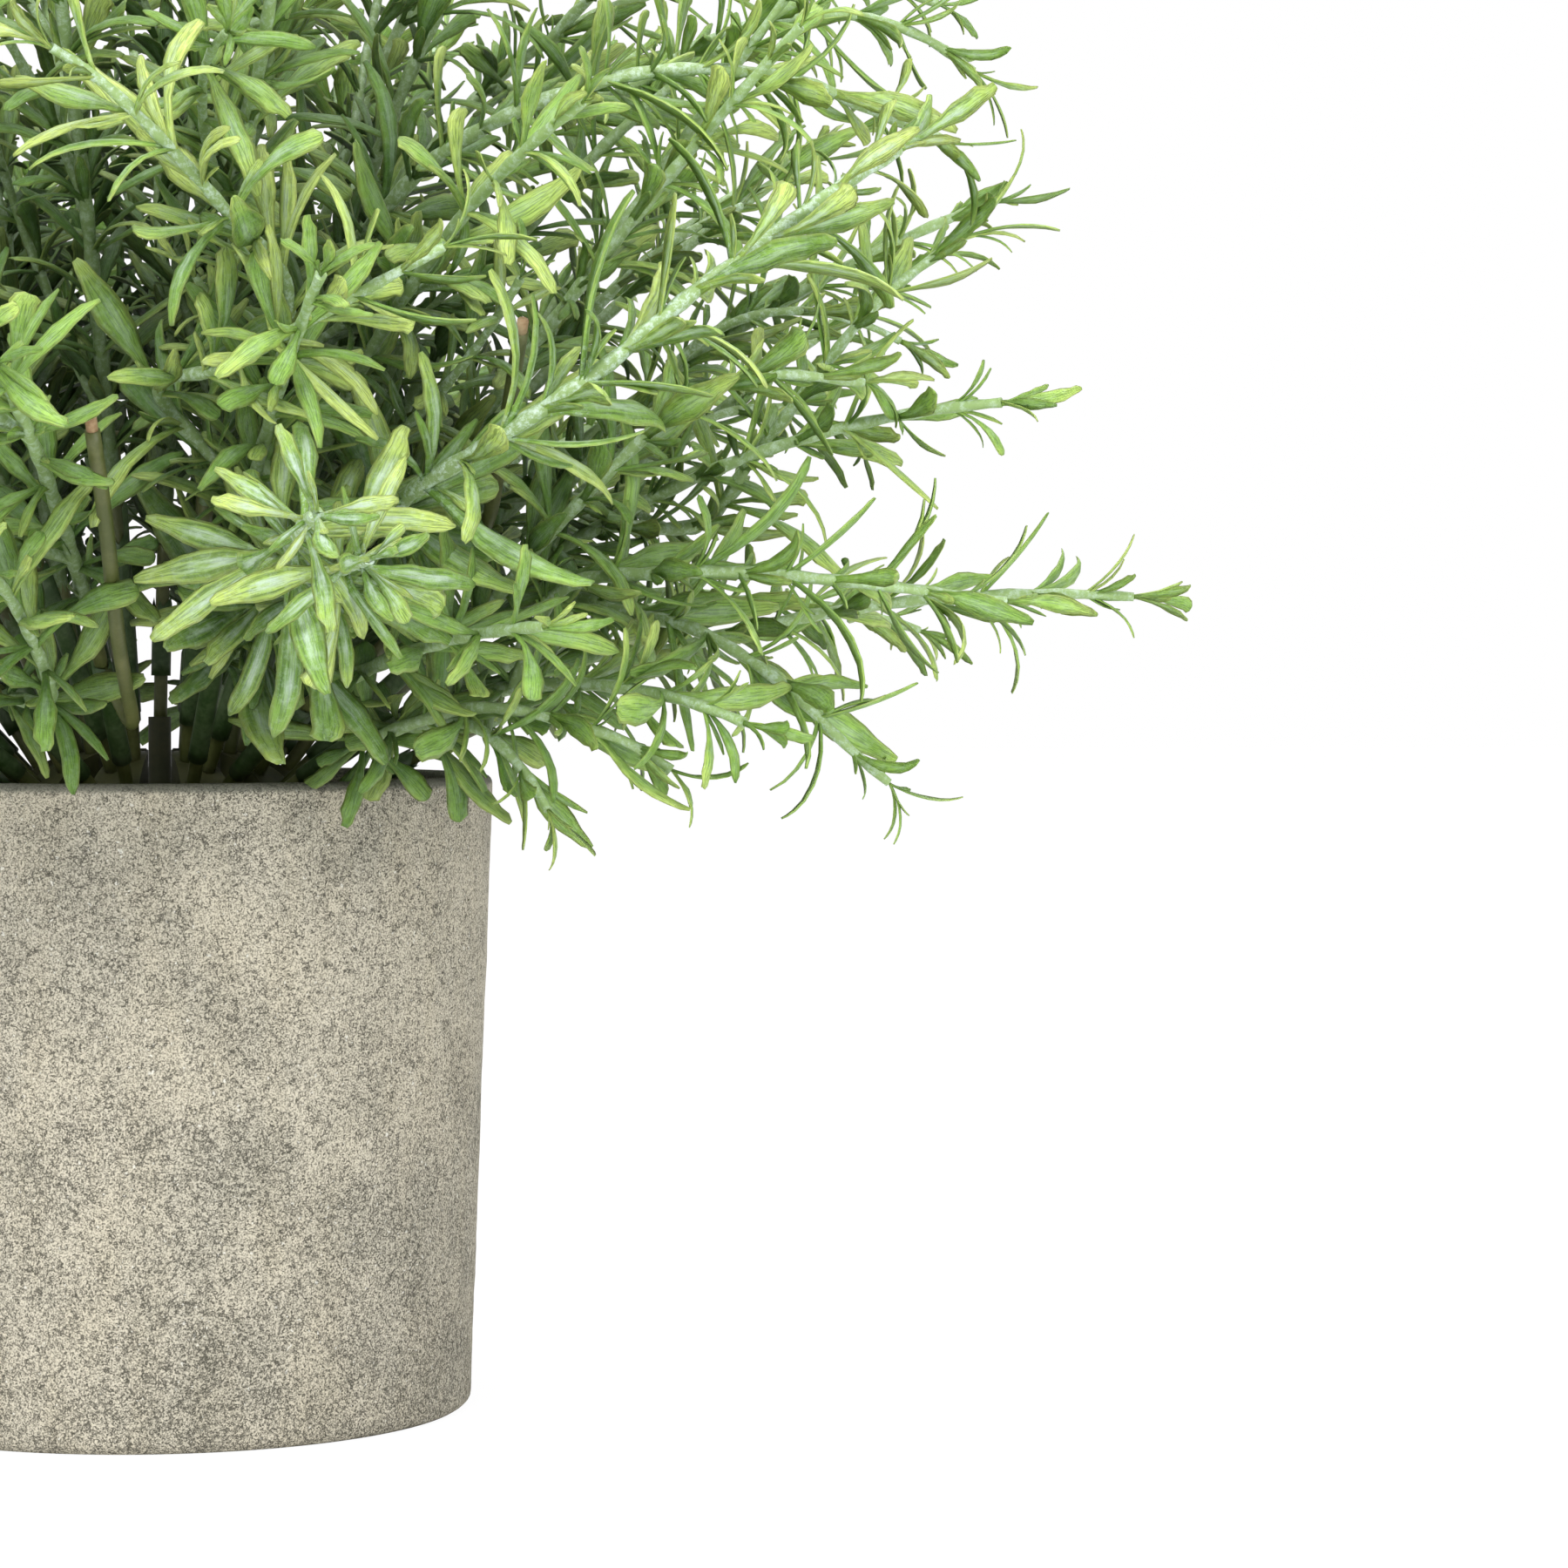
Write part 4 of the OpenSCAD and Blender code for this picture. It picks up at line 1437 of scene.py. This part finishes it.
@dataclass
class Pot:
    """The cement-look pot, turned from its outline, and what fills it.

    The draft is how much smaller the foot's radius is than the rim's.
    """

    rim_round: float = 1.8 * MM
    foot_round: float = 2.6 * MM
    wall: float = 5.5 * MM
    floor: float = 7 * MM
    around: int = 320
    waver: float = 0.22 * MM
    draft: float = 4.75 * MM
    crown_edge: float = 18.6 * MM
    moss_gap: float = 0.3 * MM
    moss_lump: float = 2.2
    moss_sink: float = 1.2 * MM
    fibres_per_area: float = 260000.0

    def outline(self) -> list[tuple[float, float]]:
        """Return the wall's outline, from the middle of the underside to that of the floor.

        Returns:
            Each point's radius and height, in metres.
        """
        low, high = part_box("pot_shell")
        height, rim = high[2], high[0] - 0.02 * MM
        base = rim - self.draft
        taper = (rim - base) / height

        def outer(z: float) -> float:
            """Return the outer radius at a height."""
            return base + taper * z
        points = [(0.0, 0.0), (base * 0.5, 0.0)]
        for k in range(6):
            angle = math.radians(-90 + 18 * k)
            points.append((outer(self.foot_round) + self.foot_round * (math.cos(angle) - 1),
                           self.foot_round * (1 + math.sin(angle))))
        rows = 64
        top = height - self.rim_round
        points += [(outer(z), z) for z in
                   (self.foot_round + (top - self.foot_round) * k / rows for k in range(1, rows))]
        for k in range(6):
            angle = math.radians(18 * k)
            points.append((outer(top) + self.rim_round * (math.cos(angle) - 1),
                           top + self.rim_round * math.sin(angle)))
        inner = outer(height) - self.wall
        for k in range(6):
            angle = math.radians(90 + 18 * k)
            points.append((inner + self.rim_round * (math.cos(angle) + 1),
                           top + self.rim_round * math.sin(angle)))
        points += [(inner - taper * (top - z), z) for z in
                   (top - (top - self.floor) * k / 16 for k in range(1, 17))]
        points.append((0.0, self.floor))
        return points

    def shell(self, material: bpy.types.Material) -> None:
        """Turn the outline into the pot, with a slight waver in its wall.

        Args:
            material: the pot's cement.
        """
        work = bmesh.new()
        rings = []
        for radius, z in self.outline():
            if radius == 0:
                rings.append([work.verts.new((0, 0, z))])
                continue
            ring = []
            for k in range(self.around):
                angle = 2 * math.pi * k / self.around
                spot = Vector((radius * math.cos(angle), radius * math.sin(angle), z))
                shift = noise.noise(spot * 60) + 0.4 * noise.noise(spot * 260)
                free = 0.0 if z < 0.4 * MM else 1.0
                grown = radius + self.waver * (shift - 0.5) * free
                ring.append(work.verts.new((grown * math.cos(angle), grown * math.sin(angle), z)))
            rings.append(ring)
        for low, high in zip(rings, rings[1:]):
            for k in range(self.around):
                n = (k + 1) % self.around
                corners = [low[k % len(low)], low[n % len(low)], high[n % len(high)],
                           high[k % len(high)]]
                work.faces.new(list(dict.fromkeys(corners)))
        bmesh.ops.recalc_face_normals(work, faces=work.faces)
        mesh = bpy.data.meshes.new("pot_wall")
        work.to_mesh(mesh)
        work.free()
        mesh.polygons.foreach_set("use_smooth", [True] * len(mesh.polygons))
        mesh.materials.append(material)
        piece = bpy.data.objects.new("pot_wall", mesh)
        bpy.context.scene.collection.objects.link(piece)
        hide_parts("pot_shell")
        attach(piece, "pot")

    def moss(self, material: bpy.types.Material) -> None:
        """Lay the moss: an uneven ring of matted fibres round the trunk's crown.

        Args:
            material: the moss.
        """
        low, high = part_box("moss_layer")
        inner, outer = self.crown_edge, high[0] - self.moss_gap
        mesh = bpy.data.meshes.new("moss_bed")
        verts, around = [], 96
        rings = [(inner, low[2]), *((inner + (outer - inner) * k / 11, high[2])
                                    for k in range(12)), (outer, low[2])]
        for radius, level in rings:
            for k in range(around):
                angle = 2 * math.pi * k / around
                spot = Vector((radius * math.cos(angle), radius * math.sin(angle), level))
                lump = 0.0
                if level > low[2]:
                    lump = noise.noise(spot * 130) * self.moss_lump * MM - self.moss_sink
                verts.append(spot + Vector((0, 0, lump)))
        faces = [(r * around + k, (r + 1) * around + k, (r + 1) * around + (k + 1) % around,
                  r * around + (k + 1) % around)
                 for r in range(len(rings)) for k in range(around) if r + 1 < len(rings)]
        last = (len(rings) - 1) * around
        faces += [(last + k, k, (k + 1) % around, last + (k + 1) % around)
                  for k in range(around)]
        mesh.from_pydata(verts, [], faces)
        mesh.polygons.foreach_set("use_smooth", [True] * len(mesh.polygons))
        bed = bpy.data.objects.new("moss_bed", mesh)
        bpy.context.scene.collection.objects.link(bed)
        work = bmesh.new()
        work.from_mesh(mesh)
        bmesh.ops.recalc_face_normals(work, faces=work.faces)
        work.to_mesh(mesh)
        work.free()
        modifier = bed.modifiers.new("fibres", "NODES")
        modifier.node_group = self.fibre_tree()
        named = {item.name: item.identifier
                 for item in modifier.node_group.interface.items_tree if item.in_out == "INPUT"}
        modifier[named["Per Square Metre"]] = self.fibres_per_area
        modifier[named["Material"]] = material
        piece = settle(bed, "moss_tufts")
        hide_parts("moss_layer")
        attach(piece, "pot")

    @staticmethod
    def fibre_tree() -> bpy.types.NodeTree:
        """Build the Geometry Nodes tree that covers an upward surface with short fibres.

        Returns:
            The tree.
        """
        tree = bpy.data.node_groups.new("moss_fibres", "GeometryNodeTree")
        face = tree.interface
        for title, kind in (("Geometry", "NodeSocketGeometry"),
                            ("Per Square Metre", "NodeSocketFloat"),
                            ("Material", "NodeSocketMaterial")):
            face.new_socket(title, in_out="INPUT", socket_type=kind)
        face.new_socket("Geometry", in_out="OUTPUT", socket_type="NodeSocketGeometry")
        graph = Graph(tree)
        source = graph.add("NodeGroupInput").outputs

        def dice(low: tuple | float, high: tuple | float, seed: int) -> bpy.types.NodeSocket:
            """Return a random number or direction for each fibre.

            Args:
                low: the least that it can be.
                high: the most that it can be.
                seed: the draw's own seed.

            Returns:
                The random value.
            """
            whole = isinstance(low, tuple)
            node = graph.add("FunctionNodeRandomValue",
                             {"data_type": "FLOAT_VECTOR" if whole else "FLOAT"})
            graph.feed(node.inputs[0 if whole else 2], low)
            graph.feed(node.inputs[1 if whole else 3], high)
            node.inputs["Seed"].default_value = seed
            return node.outputs[0 if whole else 1]

        normal = graph.add("GeometryNodeInputNormal")
        split = graph.add("ShaderNodeSeparateXYZ", inputs={0: normal.outputs[0]})
        upward = graph.add("FunctionNodeCompare", {"operation": "GREATER_THAN"},
                           {0: split.outputs["Z"], 1: 0.5})
        points = graph.add("GeometryNodeDistributePointsOnFaces", inputs={
            "Mesh": source["Geometry"], "Selection": upward.outputs[0],
            "Density": source["Per Square Metre"], "Seed": 5})
        start, bend, end = (0.0, 0.0, -0.6 * MM), (2.2 * MM, 0.0, 1.6 * MM), (6.5 * MM, 0.0, 0.5 * MM)
        strand = graph.add("GeometryNodeCurveQuadraticBezier", inputs={
            "Resolution": 4, "Start": start, "Middle": bend, "End": end})
        ring = graph.add("GeometryNodeCurvePrimitiveCircle", {"mode": "RADIUS"},
                         {"Resolution": 3, "Radius": 0.22 * MM})
        tube = graph.add("GeometryNodeCurveToMesh", inputs={
            "Curve": strand.outputs[0], "Profile Curve": ring.outputs[0], "Fill Caps": True})
        turned = graph.add("FunctionNodeEulerToRotation", inputs={
            0: dice((-0.5, -0.4, 0.0), (0.5, 0.7, 6.283), 3)})
        grown = graph.add("GeometryNodeInstanceOnPoints", inputs={
            "Points": points.outputs[0], "Instance": tube.outputs[0],
            "Rotation": turned.outputs[0], "Scale": dice(0.5, 1.0, 8)})
        joined = graph.add("GeometryNodeJoinGeometry")
        for part in (grown.outputs[0], source["Geometry"]):
            tree.links.new(part, joined.inputs[0])
        real = graph.add("GeometryNodeRealizeInstances", inputs={0: joined.outputs[0]})
        dressed = graph.add("GeometryNodeSetMaterial", inputs={
            "Geometry": real.outputs[0], "Material": source["Material"]})
        graph.add("NodeGroupOutput", inputs={0: dressed.outputs[0]})
        return tree

    def build(self) -> None:
        """Build the pot and dress its filling."""
        cement = CementFinish().make()
        self.shell(cement)
        dress("cement_ballast", PlasticFinish("cast_cement", paint(150, 148, 142),
                                              paint(110, 108, 102), 0.9).make())
        dress("foam_block", FibreFinish("foam", paint(60, 92, 60), paint(92, 124, 84), 900).make())
        self.moss(FibreFinish("moss", paint(50, 56, 22), paint(126, 120, 60)).make())
        dress("trunk_crown", PlasticFinish("trunk_plastic", paint(60, 48, 28),
                                           paint(98, 84, 56), 0.6).make())
        dress("glue_ring", PlasticFinish("hot_melt", paint(214, 206, 172), paint(236, 230, 206),
                                         0.35).make())


# ---------------------------------------------------------------- the studio

@dataclass
class Studio:
    """Camera, lamps, floor and world."""

    distance: float = 0.915
    eye_height: float = 0.147
    lens: float = 107.0
    yaw: float = 7.63
    pitch: float = -1.63

    def camera(self) -> None:
        """Put the camera in front of the pot, turned to its right."""
        data = bpy.data.cameras.new("camera")
        data.lens = self.lens
        data.sensor_width = 36
        data.clip_start = 0.01
        eye = bpy.data.objects.new("camera", data)
        bpy.context.scene.collection.objects.link(eye)
        eye.location = (0, -self.distance, self.eye_height)
        eye.rotation_euler = (math.radians(90 + self.pitch), 0, math.radians(-self.yaw))
        bpy.context.scene.camera = eye

    def lamp(self, name: str, place: Spot, aim: Spot, size: float, watts: float) -> None:
        """Hang a square soft lamp.

        Args:
            name: its name.
            place: where it hangs.
            aim: the point it faces.
            size: its width.
            watts: its power.
        """
        data = bpy.data.lights.new(name, "AREA")
        data.size = size
        data.energy = watts
        lamp = bpy.data.objects.new(name, data)
        bpy.context.scene.collection.objects.link(lamp)
        lamp.location = place
        way = Vector(aim) - Vector(place)
        lamp.rotation_euler = way.to_track_quat("-Z", "Y").to_euler()

    def world(self) -> None:
        """Make the world white to the camera and softly lit."""
        world = bpy.data.worlds.new("studio")
        bpy.context.scene.world = world
        world.use_nodes = True
        graph = Graph(world.node_tree)
        backdrop = world.node_tree.nodes["Background"]
        rays = graph.add("ShaderNodeLightPath")
        seen = graph.num(rays.outputs["Is Camera Ray"])
        seen = seen.most(rays.outputs["Is Glossy Ray"])
        backdrop.inputs["Color"].default_value = (1, 1, 1, 1)
        graph.feed(backdrop.inputs["Strength"], (seen * 0.45) + 0.55)

    def floor(self) -> None:
        """Lay a plain pale floor that keeps a faint shadow."""
        mesh = bpy.data.meshes.new("floor")
        half = 6.0
        mesh.from_pydata([(-half, -half, 0), (half, -half, 0), (half, half, 0), (-half, half, 0)],
                         [], [(0, 1, 2, 3)])
        floor = bpy.data.objects.new("floor", mesh)
        bpy.context.scene.collection.objects.link(floor)
        material = bpy.data.materials.new("floor")
        material.use_nodes = True
        graph = Graph(material.node_tree)
        shader = material.node_tree.nodes["Principled BSDF"]
        shader.inputs["Base Color"].default_value = (0.86, 0.86, 0.86, 1)
        shader.inputs["Roughness"].default_value = 0.95
        glow = graph.add("ShaderNodeEmission", inputs={"Color": (1.0, 1.0, 1.0),
                                                       "Strength": 1.05})
        rays = graph.add("ShaderNodeLightPath")
        mix = graph.add("ShaderNodeMixShader", inputs={
            0: graph.num(rays.outputs["Is Camera Ray"]) * 0.91, 1: shader.outputs[0],
            2: glow.outputs[0]})
        out = material.node_tree.nodes["Material Output"]
        material.node_tree.links.new(mix.outputs[0], out.inputs["Surface"])
        mesh.materials.append(material)

    def build(self) -> None:
        """Set up the studio."""
        scene = bpy.context.scene
        scene.view_settings.view_transform = "Standard"
        self.camera()
        self.world()
        self.floor()
        self.lamp("key", (-0.7, -1.3, 1.4), (0, 0, 0.2), 0.9, 30)
        self.lamp("fill", (0.9, -1.5, 0.35), (0, 0, 0.12), 1.0, 13)
        self.lamp("top", (0.2, 0.2, 1.6), (0, 0, 0.2), 1.0, 14)


def main() -> None:
    """Build the object's looks and the studio."""
    logging.basicConfig(level=logging.INFO, format="%(name)s: %(message)s")
    Studio().build()
    Pot().build()
    Bush().build()


if __name__ == "__main__":
    main()
